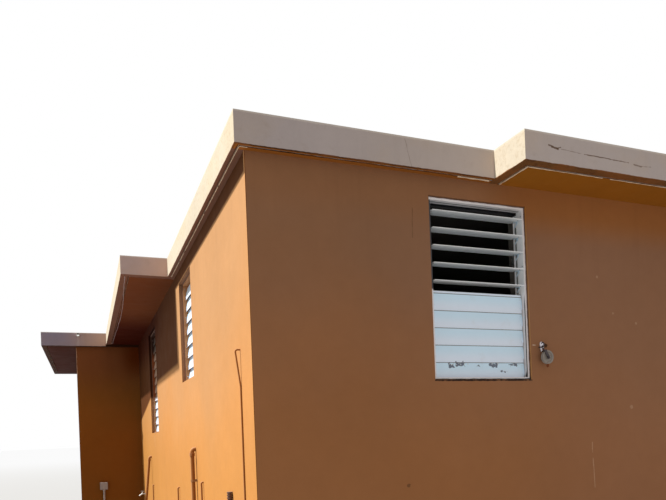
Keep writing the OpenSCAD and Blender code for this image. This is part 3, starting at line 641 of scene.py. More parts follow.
def soffit_paint(g, place, paint, zones, inset):
    """Wall paint under the overhang, with painted light and shade for each stretch; returns it, and the paint
    of the band outside the drip groove, with painted shade for each stretch.
    """
    y = g.split(place)[1]
    # Painted light and shade: lighter and warmer under the front overhangs, darker elsewhere, darker still
    # towards the rear of the side overhang and under the rear slab
    far_side = g.mix(g.ramp(y, 4.0 - MID_Y, 5.6 - MID_Y), (0.71, 0.53, 0.48), (0.24, 0.066, 0.02))
    painted_light = zones.pick((0.62, 0.54, 0.6), (1.44, 1.28, 0.34), far_side, (0.215, 0.11, 0.158))
    painted_light = g.mix(zones.small_front, painted_light, (1.4, 1.2, 0.55))
    soffit = g.scaled(g.multiplied(paint.soffit, painted_light), g.use("mottling", place, Scale=1.7, Contrast=0.22))
    limit = g.times_add(zones.small_front, -DRIP_IN, DRIP_IN + 0.008)
    ragged = g.add(inset, g.times(g.drift(place, 18.0, 3.0), 0.014))
    band = g.ramp(g.minus(ragged, limit), 0.004, -0.004)
    # Painted shade: the band is darker on the front stretches and darkest on the rear slab
    band_paint = paint.soffit_band
    for mask, tint in ((zones.rear, (0.06, 0.032, 0.022)), (zones.front, (0.17, 0.075, 0.028)),
                       (zones.small_front, (0.07, 0.03, 0.012))):
        band_paint = g.mix(mask, band_paint, tint)
    flecks = g.times(zones.front, g.ramp(g.noise(place, 30.0, 4.0, 0.6), 0.55, 0.62))
    band_paint = g.mix(g.times(flecks, 0.6), band_paint, (0.075, 0.03, 0.02))
    russet = g.times(zones.front, g.ramp(g.noise(place, 3.5, 4.0, 0.65), 0.46, 0.60))
    band_paint = g.mix(g.times(russet, 0.65), band_paint, (0.26, 0.095, 0.03))
    return g.mix(g.times(band, 0.88), soffit, band_paint), band_paint


def roof_top_paint(g, place, paint, inset):
    """Weathered coat on top, stained where water stands and along the rim."""
    top = g.scaled(paint.roof_top, g.use("mottling", place, Scale=0.7, Contrast=0.35))
    ponds = g.ramp(g.noise(place, 0.55, 4.0, 0.6), 0.5, 0.62)
    top = g.mix(g.times(ponds, 0.4), top, (0.24, 0.22, 0.19))
    top = g.mix(g.ramp(inset, 0.1, 0.22, 0.5, 0.0), top, (0.25, 0.22, 0.18))
    crust = g.ramp(g.noise(place, 24.0, 4.0, 0.6), 0.5, 0.66)
    return g.mix(g.times(crust, 0.22), top, (0.46, 0.43, 0.38))


def roof_material(paint):
    """Cream paint on the fascia, wall paint on the soffit, weathered coat on top."""
    material, g, shader = new_material("roof_paint")
    place, normal = g.place(), g.normal()
    z = g.split(place)[2]
    nx, ny, nz = g.split(normal)
    zones = RoofZones(g, place)
    inset = g.use("edge_distance", place)
    fascia = fascia_paint(g, place, paint, zones, g.ramp(g.size(nx), 0.6, 0.8))
    soffit, band_paint = soffit_paint(g, place, paint, zones, inset)
    # Brushed border of the two paints along the foot of the fascia
    under = g.times_add(zones.rear, REAR_SOFFIT_Z - SOFFIT_Z, SOFFIT_Z)
    wobble = g.add(g.times(g.noise(place, 7.0, 3.0), 0.012), g.times(g.noise(place, 40.0, 2.0), 0.004))
    over = g.minus(g.minus(z, under), g.add(wobble, -0.004))
    fascia = g.mix(g.ramp(over, 0.001, -0.001), fascia, band_paint)
    # Painted shade: a dark strip where the rear slab's front hangs below the front slab
    step = g.times(zones.rear, g.below(zones.wide, HALF_W + EAVE_SIDE + 0.01),
                   g.ramp(z, SOFFIT_Z + 0.004, SOFFIT_Z), g.below(ny, -0.5))
    fascia = g.mix(step, fascia, (0.035, 0.012, 0.004))
    down = g.below(nz, -0.5)
    colour = g.mix(down, fascia, soffit)
    colour = g.mix(g.above(nz, 0.5), colour, roof_top_paint(g, place, paint, inset))
    for line in ROOF_LINES:
        colour = lined(g, place, colour, *line)
    # Painted shade: the ceilings of the rooms take the same dark paint
    colour = g.mix(g.times(g.use("rooms", place), down), colour, paint.room)
    painted_plaster(g, shader, place, colour, (0.78, 0.93), 0.0008, 0.006)
    return material


def concrete_material(paint):
    """Trowelled concrete floor, worn smooth and stained at the threshold."""
    material, g, shader = new_material("floor_concrete")
    place = g.place()
    value = g.use("mottling", place, Scale=1.5, Contrast=0.35)
    colour = g.scaled(paint.concrete, value)
    grit = g.ramp(g.noise(place, 240.0, 2.0), 0.55, 0.7)
    colour = g.mix(g.times(grit, 0.25), colour, (0.20, 0.19, 0.17))
    foot = g.use("splash", place, Height=0.2)
    colour = g.mix(g.times(foot, 0.3), colour, (0.20, 0.14, 0.09))
    inside = g.use("rooms", place)
    colour = g.mix(g.times(inside, 0.5), colour, (0.16, 0.15, 0.14))
    g.feed(shader["Base Color"], colour)
    g.feed(shader["Roughness"], g.ramp(value, 0.8, 1.2, 0.45, 0.8))
    g.feed(shader["Normal"], g.bump(g.times(g.noise(place, 90.0, 4.0, 0.6), 0.0006)))
    return material


# Coats of metal, wood and plastic share one recipe: coat, drift, worn patches, dust and relief

def coated_material(name, colour, worn_colour, roughness, *, contrast=0.12, worn=0.1, worn_scale=60.0,
                    dust=0.4, dust_colour=(0.42, 0.33, 0.26), metallic=0.0, worn_metallic=0.0,
                    relief=0.0002, relief_scale=160.0, stretch=None, specular=0.5, streak=0.0, marks=None):
    """A painted, plated or moulded finish. marks(g, place, tint) returns the tint with marks of its own."""
    material, g, shader = new_material(name)
    place = g.place()
    value = g.times(g.use("mottling", place, Scale=3.0, Contrast=contrast),
                    g.use("mottling", place, Scale=40.0, Contrast=contrast * 0.5))
    tint = g.scaled(colour, value)
    if streak:
        run = g.use("rain_streaks", place, Width=0.012, Length=0.2)
        tint = g.mix(g.times(run, streak), tint, dust_colour)
    bare = g.use("worn", place, Scale=worn_scale, Share=worn)
    tint = g.mix(bare, tint, worn_colour)
    film = g.use("dust", place, Normal=g.normal(), Amount=dust)
    tint = g.mix(film, tint, dust_colour)
    if marks:
        tint = marks(g, place, tint)
    g.feed(shader["Base Color"], tint)
    if metallic != worn_metallic:
        g.feed(shader["Metallic"], g.ramp(bare, 0.0, 1.0, metallic, worn_metallic))
    else:
        shader["Metallic"].default_value = metallic
    rough = g.times_add(g.noise(place, 18.0, 3.0), 0.16, roughness - 0.08)
    g.feed(shader["Roughness"], g.add(rough, g.times(film, 0.25)))
    shader["Specular IOR Level"].default_value = specular
    grain = g.noise(place, relief_scale, 3.0, 0.55, stretch=stretch)
    g.feed(shader["Normal"], g.bump(g.times_add(grain, relief, g.times(bare, -0.0002))))
    return material


def in_front(g, y):
    """1 on the front windows, and the depth of a point behind the front of their frames."""
    return g.below(y, -MID_Y / 2), g.add(y, MID_Y - REVEAL)


def frame_marks(g, place, tint):
    """Painted shade inside the front frames: behind the head, along a seam under it, on the far jambs beside
    the closed blades and on the near jambs beside the open blades; painted light on the far jambs beside the
    open blades.
    """
    x, y, z = g.split(place)
    nx, _, nz = g.split(g.normal())
    front, depth = in_front(g, y)
    head = g.ramp(z, HEAD_Z - 0.034, HEAD_Z - 0.032)
    behind_head = g.times(head, g.ramp(depth, 0.054, 0.057))
    seam = g.times(head, g.below(nz, -0.5), g.ramp(depth, 0.026, 0.029), g.ramp(depth, 0.038, 0.035))
    to_left = g.below(nx, -0.7)
    reach = g.ramp(z, FRONT_FOOT + 0.06, FRONT_FOOT + 0.02, 0.009, 0.02)
    far_jamb = g.times(to_left, g.ramp(z, OPEN_Z, OPEN_Z - 0.09),
                       g.ramp(g.minus(reach, depth), -0.001, 0.001))
    offset = g.least(*(g.size(g.add(x, -(win["foot"].x + FRAME_FACE / 2))) for win in FRONT_WINDOWS))
    near_jamb = g.times(g.ramp(offset, 0.012, 0.011), g.ramp(z, OPEN_Z - 0.02, OPEN_Z - 0.005),
                        g.ramp(z, HEAD_Z - 0.018, HEAD_Z - 0.022))
    dark = g.times(g.most(behind_head, g.times(seam, 0.75), far_jamb, near_jamb), front)
    bright = g.times(front, to_left, g.ramp(z, OPEN_Z - 0.04, OPEN_Z))
    return g.mix(dark, g.mix(bright, tint, (1.0, 1.0, 1.0)), (0.012, 0.010, 0.012))


def sheltered_window(g, place, tint):
    """Painted shadow of the deep overhang on what stands in the far left window, darkest at the top."""
    x, y, z = g.split(place)
    here = g.times(g.below(x, 0.3 - HALF_W), g.ramp(z, 1.93, 1.99),
                   g.above(y, 4.3 - MID_Y), g.below(y, 5.5 - MID_Y))
    return g.tinted(here, tint, g.mix(g.ramp(z, 2.45, 2.60), (0.59, 0.33, 0.19), (0.08, 0.04, 0.02)))


def sealant_marks(g, place, tint):
    """Painted shade: the bead under the sills of the front windows is made black, for the open joint there.
    """
    _, y, z = g.split(place)
    sill = g.ramp(z, FRONT_FOOT + 0.016, FRONT_FOOT + 0.010)
    return g.mix(g.times(in_front(g, y)[0], sill), tint, (0.004, 0.004, 0.005))


def pipe_marks(g, place, tint):
    """Painted shade on the sides of the pipes that face front and rear."""
    facing = g.size(g.split(g.normal())[1])
    return g.tinted(g.ramp(facing, 0.3, 0.75), tint, (0.56, 0.42, 0.20))


def rivet_marks(g, place, tint):
    """Enamel over the rivets of the closed blades in front."""
    _, y, z = g.split(place)
    return g.mix(g.times(in_front(g, y)[0], g.below(z, OPEN_Z + 0.01)), tint, (0.66, 0.76, 0.86))


# Flaked stretches of the lowest blade of the left front window: left, right, lowest and highest
BARE_STRETCHES = (
    (-2.597, -2.559, 0.076, 0.098), (-2.548, -2.485, 0.084, 0.106), (-2.40, -2.385, 0.088, 0.094),
    (-2.309, -2.252, 0.078, 0.104), (-2.17, -2.105, 0.086, 0.100), (-2.227, -2.217, 0.047, 0.052),
    (-2.204, -2.192, 0.045, 0.050),
)


def flaked_mask(g, place, bare):
    """The worn patches, and the ragged stretches where the enamel has come off."""
    x, y, z = g.split(place)
    rough = g.times(g.drift(place, 52.0, 3.0, 0.6), 0.045)
    for left, right, low, high in BARE_STRETCHES:
        spread = g.most(g.minus(left, x), g.minus(x, right), g.minus(FRONT_FOOT + low, z),
                        g.minus(z, FRONT_FOOT + high), g.add(y, MID_Y - 0.12))
        bare = g.most(bare, g.ramp(g.add(spread, rough), 0.001, -0.001))
    return bare


def blade_material(paint):
    """White enamel, dusty and flaked on the lowest left blade, with painted light and shade: cool sky light
    above and warmer light below on each blade, shadow at the laps, lighter undersides, a highlight on the
    open blades' lips, and shadow in the far left window and along the foot.
    """
    material, g, shader = new_material("blade_enamel")
    place, normal = g.place(), g.normal()
    _, y, z = g.split(place)
    _, ny, nz = g.split(normal)
    front, depth = in_front(g, y)
    lowest = HEAD_Z - HEAD_GAP - BLADE_LOW
    level = g.math("FRACT", g.ratio(g.add(z, 20 * BLADE_STEP - lowest), BLADE_STEP))
    value = g.use("mottling", place, Scale=4.0, Contrast=0.07)
    # Painted sky light: each blade cool above and warmer below
    tint = g.scaled(g.mix(g.ramp(level, 0.1, 0.8), paint.enamel_low, paint.enamel), value)
    tint = g.mix(g.use("dust", place, Normal=normal, Amount=0.35), tint, (0.62, 0.56, 0.50))
    grime = g.ramp(g.noise(place, 9.0, 4.0, 0.65), 0.55, 0.75)
    tint = g.mix(g.times(grime, 0.12), tint, (0.48, 0.42, 0.37))
    bare = flaked_mask(g, place, g.use("worn", place, Scale=110.0, Share=0.04))
    tint = g.mix(bare, tint, (0.11, 0.13, 0.17))
    # Painted shadow under the lap of each blade above
    lap_shadow = g.times(g.ramp(level, 0.944, 0.962), g.ramp(g.size(ny), 0.5, 0.7))
    tint = g.mix(g.times(lap_shadow, 0.85), tint, (0.10, 0.09, 0.09))
    # Painted light and shade on the front windows' blades: near-white undersides, a white highlight on the
    # front lips of the open blades, and a shadow along the foot of the lowest ones
    under = g.times(front, g.below(nz, -0.6))
    shade = g.most(g.ramp(depth, -0.001, 0.004, 1.0, 0.97), g.ramp(depth, 0.086, 0.094, 0.0, 1.0))
    pale = g.mix(g.times(grime, 0.2), (0.97, 0.99, 1.0), (0.75, 0.74, 0.72))
    tint = g.mix(under, tint, g.scaled(pale, shade))
    lip_highlight = g.times(front, g.below(depth, 0.0), g.above(z, OPEN_Z + 0.02))
    tint = sheltered_window(g, place, g.mix(lip_highlight, tint, (1.0, 1.0, 1.0)))
    foot = FRONT_FOOT + FOOT_Z - BLADE_LOW
    foot_shadow = g.times(front, g.ramp(z, foot + 0.006, foot + 0.004))
    tint = g.mix(g.times(foot_shadow, 0.7), tint, (0.22, 0.25, 0.30))
    g.feed(shader["Base Color"], tint)
    g.feed(shader["Metallic"], g.times(bare, 0.3))
    g.feed(shader["Roughness"], g.times_add(g.noise(place, 15.0, 3.0), 0.2, 0.28))
    shader["Coat Weight"].default_value = 0.2
    shader["Coat Roughness"].default_value = 0.25
    ripple = g.noise(place, 7.0, 2.0, stretch=(1, 1, 4))
    g.feed(shader["Normal"], g.bump(g.times_add(ripple, 0.0006, g.times(bare, -0.0004))))
    return material


# Meshes and Geometry Nodes

def link_object(name, data):
    obj = bpy.data.objects.new(name, data)
    bpy.context.scene.collection.objects.link(obj)
    return obj


def plain_object(name, vertices, faces=(), edges=()):
    """An object made of points with edges or faces."""
    mesh = bpy.data.meshes.new(name)
    mesh.from_pydata([tuple(v) for v in vertices], edges, faces)
    mesh.update()
    return link_object(name, mesh)


def add_piece(obj, material):
    """Finishes a piece: its material and the body it rides on."""
    if material is not None:
        obj.data.materials.clear()
        obj.data.materials.append(material)
    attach(obj, "root")
    return obj


def lofted_piece(name, solids, material):
    """A piece of closed solids; each is a list of rings of points, from its first face to its last."""
    bm = bmesh.new()
    for rings in solids:
        made = [[bm.verts.new(point) for point in ring] for ring in rings]
        bm.faces.new(made[0])
        bm.faces.new(made[-1][::-1])
        for low, high in zip(made, made[1:]):
            for i, corner in enumerate(low):
                j = (i + 1) % len(low)
                bm.faces.new((corner, low[j], high[j], high[i]))
    bmesh.ops.recalc_face_normals(bm, faces=bm.faces)
    mesh = bpy.data.meshes.new(name)
    bm.to_mesh(mesh)
    bm.free()
    return add_piece(link_object(name, mesh), material)


def geometry_tree(name, **inputs):
    """Starts a Geometry Nodes tree with named inputs; returns its graph, inputs and output node."""
    tree = bpy.data.node_groups.new(name, "GeometryNodeTree")
    tree.interface.new_socket("Geometry", in_out="INPUT", socket_type="NodeSocketGeometry")
    kinds = {float: "NodeSocketFloat", int: "NodeSocketInt"}
    for label, default in inputs.items():
        socket = tree.interface.new_socket(label, in_out="INPUT", socket_type=kinds[type(default)])
        socket.default_value = default
    tree.interface.new_socket("Material", in_out="INPUT", socket_type="NodeSocketMaterial")
    tree.interface.new_socket("Geometry", in_out="OUTPUT", socket_type="NodeSocketGeometry")
    g = Graph(tree)
    return g, g.node("NodeGroupInput").outputs, g.node("NodeGroupOutput")


def end_tree(g, given, out, geometry):
    """Ends a tree as a plain mesh with its material."""
    real = g.made("GeometryNodeRealizeInstances", {0: geometry})
    painted = g.made("GeometryNodeSetMaterial", {"Geometry": real, "Material": given["Material"]})
    g.feed(out.inputs[0], painted)


def bead_tree():
    """A wobbly round bead along paths, broken where a noise passes Cover."""
    g, given, out = geometry_tree("laid_bead", Width=0.006, Step=0.012, Wobble=0.002, Wander=0.0, Swell=1.0,
                                  Cover=1.0, Patch=6.0, Seed=0)
    path = g.made("GeometryNodeMeshToCurve", {0: given["Geometry"]})
    even = g.made("GeometryNodeResampleCurve", {"Curve": path, "Length": given["Step"]}, mode="LENGTH")
    wire = g.made("GeometryNodeCurveToMesh", {"Curve": even})
    place = g.made("GeometryNodeInputPosition")
    moved = g.vector("ADD", place, g.combine(given["Seed"], given["Seed"], 0.0))
    gap = g.above(g.noise(moved, given["Patch"], 2.0), given["Cover"])
    kept = g.made("GeometryNodeDeleteGeometry", {"Geometry": wire, "Selection": gap}, domain="EDGE")
    wobble = g.scaled(g.shake(moved, 35.0, 2.0), given["Wobble"])
    wander = g.scaled(g.vector("MULTIPLY", g.shake(moved, 2.4, 2.0), (1, 1, 0)), given["Wander"])
    offset = g.vector("ADD", wobble, wander)
    kept = g.made("GeometryNodeSetPosition", {"Geometry": kept, "Offset": offset})
    line = g.made("GeometryNodeMeshToCurve", {0: kept})
    swell = g.ramp(g.noise(moved, 22.0, 3.0), 0.3, 0.7, -0.4, 0.25)
    swell = g.times_add(swell, given["Swell"], 1.0)
    ring = g.made("GeometryNodeCurvePrimitiveCircle", {
        "Resolution": 6, "Radius": g.times(given["Width"], 0.5)})
    bead = g.made("GeometryNodeCurveToMesh", {
        "Curve": line, "Profile Curve": ring, "Scale": swell, "Fill Caps": True})
    end_tree(g, given, out, bead)
    return g.tree


def stud_tree():
    """Domed heads of rivets or screws on points, each turned to its point's facing attribute."""
    g, given, out = geometry_tree("domed_heads", Radius=0.003, Rise=0.5)
    facing = g.made("GeometryNodeInputNamedAttribute", {"Name": "facing"}, data_type="FLOAT_VECTOR")
    turn = g.made("FunctionNodeAlignRotationToVector", {"Vector": facing}, axis="Z")
    dome = g.made("GeometryNodeMeshUVSphere", {"Segments": 10, "Rings": 6, "Radius": given["Radius"]})
    dome = g.made("GeometryNodeTransform", {
        "Geometry": dome, "Scale": g.combine(1.0, 1.0, given["Rise"])})
    studs = g.made("GeometryNodeInstanceOnPoints", {
        "Points": given["Geometry"], "Instance": dome, "Rotation": turn})
    end_tree(g, given, out, studs)
    return g.tree


def rib_tree():
    """Round ribs, evenly spaced along a path and square to it."""
    g, given, out = geometry_tree("pipe_ribs", Ring=0.02, Thickness=0.003, Count=4)
    path = g.made("GeometryNodeMeshToCurve", {0: given["Geometry"]})
    points = g.node("GeometryNodeCurveToPoints", {"Curve": path, "Count": given["Count"]}, mode="COUNT")
    turn = g.made("FunctionNodeAlignRotationToVector", {"Vector": points.outputs["Tangent"]}, axis="Z")
    ring = g.made("GeometryNodeCurvePrimitiveCircle", {"Resolution": 28, "Radius": given["Ring"]})
    wire = g.made("GeometryNodeCurvePrimitiveCircle", {
        "Resolution": 8, "Radius": g.times(given["Thickness"], 0.5)})
    rib = g.made("GeometryNodeCurveToMesh", {"Curve": ring, "Profile Curve": wire})
    ribs = g.made("GeometryNodeInstanceOnPoints", {
        "Points": points.outputs["Points"], "Instance": rib, "Rotation": turn})
    end_tree(g, given, out, ribs)
    return g.tree


def grow(name, tree, values, material, slot, vertices, edges=(), facing=None):
    """Runs a tree on points or paths and keeps the result as a plain mesh piece."""
    seed = plain_object(name + "_seed", vertices, edges=edges)
    if facing:
        attribute = seed.data.attributes.new("facing", "FLOAT_VECTOR", "POINT")
        for item, direction in zip(attribute.data, facing):
            item.vector = direction
    modifier = seed.modifiers.new("grow", "NODES")
    modifier.node_group = tree
    values = dict(values, Material=material)
    for item in tree.interface.items_tree:
        if item.item_type == "SOCKET" and item.in_out == "INPUT" and item.name in values:
            modifier[item.identifier] = values[item.name]
    bpy.context.view_layer.update()
    graph = bpy.context.evaluated_depsgraph_get()
    mesh = bpy.data.meshes.new_from_object(seed.evaluated_get(graph), depsgraph=graph)
    bpy.data.objects.remove(seed)
    if not mesh.polygons:
        raise RuntimeError(name + " came out empty")
    mesh.name = name
    mesh.shade_smooth()
    return add_piece(link_object(name, mesh), None)


def joined(paths, closed=False):
    """Several lists of points as one list of points, with the edges along each list."""
    vertices, edges = [], []
    for points in paths:
        first = len(vertices)
        vertices += points
        last = len(vertices) - 1
        edges += [(i, i + 1) for i in range(first, last)]
        if closed:
            edges.append((last, first))
    return vertices, edges


# Settings

def number(name, description, default, **limits):
    return bpy.props.FloatProperty(name=name, description=description, default=default, **limits)


def triple(name, description, default, **limits):
    return bpy.props.FloatVectorProperty(name=name, description=description, default=default, size=3,
                                         **limits)


def colour(name, description, default):
    return triple(name, description, default, min=0.0, max=1.0, subtype="COLOR")


def length(name, description, default, top):
    return number(name, description, default, min=0.0, max=top, unit="LENGTH", subtype="DISTANCE",
                  precision=4)


class HousePaint(bpy.types.PropertyGroup):
    """Colours of the house's paints and coats."""
    # Painted light: the two wall colours are one masonry paint, shaded on the walls that face front and rear
    # and lighter, as if sunlit, on the side walls
    wall: colour("Wall", "Masonry paint on walls that face front and rear", (0.314, 0.144, 0.074))
    wall_painted_sunlight: colour("Wall, sunned", "The same paint on the side walls", (0.52, 0.256, 0.105))
    # Painted light: the two fascia colours are one cream paint, shaded on the front and rear edges and
    # lighter, as if sunlit, on the side edges
    fascia: colour("Fascia", "Cream paint on the front and rear edges of the roof", (0.52, 0.427, 0.368))
    fascia_painted_sunlight: colour("Fascia, sunned", "The same paint on the side edges", (0.60, 0.52, 0.395))
    # Painted light: the soffit paint is more orange than the wall paint, for the warm light bounced up under
    # the overhang
    soffit: colour("Soffit", "Paint under the overhang", (0.235, 0.092, 0.032))
    soffit_band: colour("Soffit band", "Paint between the roof's edge and the drip groove",
                        (0.21, 0.105, 0.072))
    roof_top: colour("Roof top", "Weathered coat on top of the roof", (0.33, 0.31, 0.28))
    # Painted shade: the rooms are painted dark so that they look dark through the windows
    room: colour("Rooms", "Paint inside the rooms", (0.16, 0.14, 0.12))
    concrete: colour("Concrete", "Floor slab", (0.27, 0.255, 0.235))
    # Painted light: both enamels are tinted blue for the sky light on the blades, more near their tops
    enamel: colour("Enamel", "White enamel of the louvre blades, near their tops", (0.67, 0.86, 1.0))
    enamel_low: colour("Enamel, low", "The same enamel, near their feet", (0.80, 0.88, 1.0))
    frame_paint: colour("Window frame", "White paint of the front and rear window frames", (0.85, 0.80, 0.80))
    side_frame: colour("Side window frame", "Wall paint on the side window frames", (0.42, 0.19, 0.077))
    sealant: colour("Sealant", "Painted sealant round the windows", (0.13, 0.058, 0.032))
    pipe: colour("Pipes", "Wall paint on the pipes", (0.46, 0.215, 0.090))


class HouseSizes(bpy.types.PropertyGroup):
    """Sizes of the small pieces."""
    bead: length("Sealant bead", "Width of the bead round each window frame", 0.0075, 0.02)
    dab: length("Paint edge", "Width of the cream paint along the drip groove", 0.006, 0.02)
    lip: length("Blade lip", "Thickness of the rolled lips along a louvre blade", 0.0036, 0.006)
    rivet: length("Rivet", "Radius of a blade rivet's head", 0.004, 0.01)
    screw: length("Screw", "Radius of a frame screw's head", 0.0045, 0.01)
    rib: length("Rib", "Thickness of a rib on the pipe elbow", 0.003, 0.01)
    dab_cover: number("Paint cover", "Share of the groove's lip under paint", 0.66, min=0.0, max=1.0,
                      subtype="FACTOR")


class HouseStudio(bpy.types.PropertyGroup):
    """Light, floor and camera."""
    sun: number("Key light", "Strength of the key light", 7.2, min=0.0, max=20.0)
    softness: number("Softness", "Angle that the key light covers", math.radians(1.5), min=0.0, max=math.pi,
                     unit="ROTATION")
    travel: triple("Direction", "Way that the key light travels", (1.0, -0.12, -1.79), subtype="DIRECTION")
    fill: number("Fill", "Strength of the light from all round", 0.5, min=0.0, max=2.0)
    floor: colour("Floor", "Floor as the camera sees it", (0.335, 0.33, 0.32))
    bounce: colour("Floor bounce", "Floor as the light sees it", (0.28, 0.275, 0.265))
    place: triple("Camera", "Place of the camera", (-4.600, -8.568, 1.44), subtype="TRANSLATION")
    heading: number("Heading", "Turn of the view towards +X", math.radians(21.76), unit="ROTATION")
    roll: number("Roll", "Roll of the camera", math.radians(-2.2), unit="ROTATION")
    lens: number("Lens", "Focal length in millimetres", 33.378, min=10.0, max=200.0)
    rise: number("Rise", "Upward shift of the frame", 0.273)


# Operators

class HOUSE_OT_walls(bpy.types.Operator):
    """Paint the walls"""
    bl_idname = "house.walls"
    bl_label = "Walls"

    def execute(self, context):
        walls = [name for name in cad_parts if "wall" in name]
        put_on(wall_material(context.scene.house_paint), *walls)
        return {"FINISHED"}


def brushed_line(name, tint, worn_tint):
    """A thick, uneven line of paint."""
    return coated_material(name, tint, worn_tint, 0.8, contrast=0.3, dust=0.1, relief=0.0006)


def groove_paths():
    """Paths of the paint along the drip groove: broken, solid and wavy ones."""
    z = SOFFIT_Z - 0.0005
    inner = DRIP_IN + DRIP_W
    edge = EAVE_SMALL - DRIP_IN_SMALL - DRIP_W
    step = HALF_W - STEP_FRONT
    fore = inner - EAVE_FRONT
    broken, solid, wavy = [[at(inner - step, fore, z), at(step - inner, fore, z)]], [], []
    # Points of a side's wavy line: distance from the front, and from the edge of the overhang
    brushed = ((STEP_SIDE + 0.05, 0.038), (3.3, 0.060), (3.9, 0.086), (4.6, 0.098), (5.4, 0.094),
               (ROOF_STEP - DRIP_IN - 0.02, 0.084))
    for s in (-1, 1):
        broken.append([at(s * (HALF_W - 0.01), -edge, z), at(s * (HALF_W + edge), -edge, z),
                       at(s * (HALF_W + edge), STEP_SIDE - 0.01, z)])
        solid.append([at(s * (step - inner), fore, z), at(s * (step - inner), -0.004, z)])
        solid.append([at(s * (step + 0.24), -edge, z), at(s * (step + 0.02), -edge, z)])
        wavy.append([at(s * (HALF_W + EAVE_SIDE - inset), y, z) for y, inset in brushed])
    return broken, solid, wavy


class HOUSE_OT_roof(bpy.types.Operator):
    """Paint the roof slab and its fascia, and brush paint along the drip groove"""
    bl_idname = "house.roof"
    bl_label = "Roof"

    def execute(self, context):
        paint, sizes = context.scene.house_paint, context.scene.house_sizes
        put_on(roof_material(paint), "front_roof", "rear_roof")
        put_on(coated_material("white_plastic", (0.66, 0.63, 0.58), (0.5, 0.45, 0.38), 0.45, streak=0.3,
                               worn_scale=25.0, relief_scale=70.0), "roof_spouts")
        cream = brushed_line("cream_brush_line", (0.80, 0.60, 0.42), (0.45, 0.30, 0.20))
        shaded = brushed_line("grey_brush_line", (0.40, 0.31, 0.31), (0.28, 0.19, 0.16))
        broken, solid, wavy = groove_paths()
        tree = bead_tree()
        for name, paths, coat, values in (
                ("broken_groove_paint", broken, cream,
                 {"Width": sizes.dab * 0.8, "Wobble": 0.003, "Cover": sizes.dab_cover, "Patch": 5.0}),
                ("solid_groove_paint", solid, cream, {"Width": sizes.dab * 1.5, "Wobble": 0.002}),
                ("wavy_groove_paint", wavy, shaded,
                 {"Wobble": 0.003, "Wander": 0.02, "Cover": 0.75, "Patch": 3.0})):
            grow(name, tree, {"Width": sizes.dab, "Step": 0.012, "Seed": 3, **values}, coat, "roof_paint",
                 *joined(paths))
        return {"FINISHED"}


class HOUSE_OT_floor(bpy.types.Operator):
    """Finish the floor slab"""
    bl_idname = "house.floor"
    bl_label = "Floor slab"

    def execute(self, context):
        put_on(concrete_material(context.scene.house_paint), "floor_slab")
        return {"FINISHED"}


class HOUSE_OT_windows(bpy.types.Operator):
    """Finish the louvre windows: frames, blades with rolled lips, link bars and cranks"""
    bl_idname = "house.windows"
    bl_label = "Windows"

    def execute(self, context):
        paint, sizes = context.scene.house_paint, context.scene.house_sizes
        sides = ("front", "left", "right", "rear")
        put_on(coated_material("frame_paint", paint.frame_paint, (0.40, 0.38, 0.36), 0.5, worn=0.12, dust=0.6,
                               dust_colour=(0.58, 0.48, 0.43), streak=0.12, contrast=0.15, marks=frame_marks),
               "front_window_frames", "rear_window_frames")
        put_on(coated_material("side_frame_paint", paint.side_frame, (0.34, 0.24, 0.17), 0.7, dust=0.3,
                               contrast=0.2, specular=0.3, marks=sheltered_window),
               "left_window_frames", "right_window_frames")
        enamel = blade_material(paint)
        put_on(enamel, *(s + "_window_blades" for s in sides))
        paths = []
        for win in WINDOWS:
            for index in range(win["blades"]):
                for s in (LIP_IN - BLADE_W / 2, BLADE_W / 2 - LIP_IN):
                    paths.append([blade_face(win, index, along, s, 0)[0]
                                  for along in (BLADE_END_IN + 0.001, win["width"] - BLADE_END_IN - 0.001)])
        values = {"Width": sizes.lip, "Step": 0.25, "Wobble": 0.0, "Swell": 0.0}
        grow("blade_lips", bead_tree(), values, enamel, "window_paint", *joined(paths))
        mill = coated_material("mill_aluminium", (0.50, 0.50, 0.48), (0.32, 0.31, 0.29), 0.42, metallic=0.9,
                               worn_metallic=0.3, worn=0.3, relief_scale=90.0, stretch=(1, 1, 0.1))
        put_on(mill, *(s + "_window_" + part for s in sides for part in ("links", "cranks")))
        return {"FINISHED"}


class HOUSE_OT_sealant(bpy.types.Operator):
    """Lay the bead of painted sealant round every window frame"""
    bl_idname = "house.sealant"
    bl_label = "Sealant"

    def execute(self, context):
        paint, sizes = context.scene.house_paint, context.scene.house_sizes
        brown = coated_material("sealant_bead", paint.sealant, (0.08, 0.045, 0.03), 0.7, contrast=0.3,
                                worn=0.2, dust=0.2, relief=0.0006, relief_scale=120.0, marks=sealant_marks)
        paths = []
        inset, depth = sizes.bead * 0.4, -sizes.bead * 0.35
        for win in WINDOWS:
            w, h = win["width"], win["height"]
            corners = ((inset, inset), (w - inset, inset), (w - inset, h - inset), (inset, h - inset))
            paths.append([on_window(win, a, b, depth) for a, b in corners])
        values = {"Width": sizes.bead, "Step": 0.014, "Wobble": 0.0025, "Seed": 1}
        grow("window_sealant", bead_tree(), values, brown, "wall_paint", *joined(paths, closed=True))
        return {"FINISHED"}


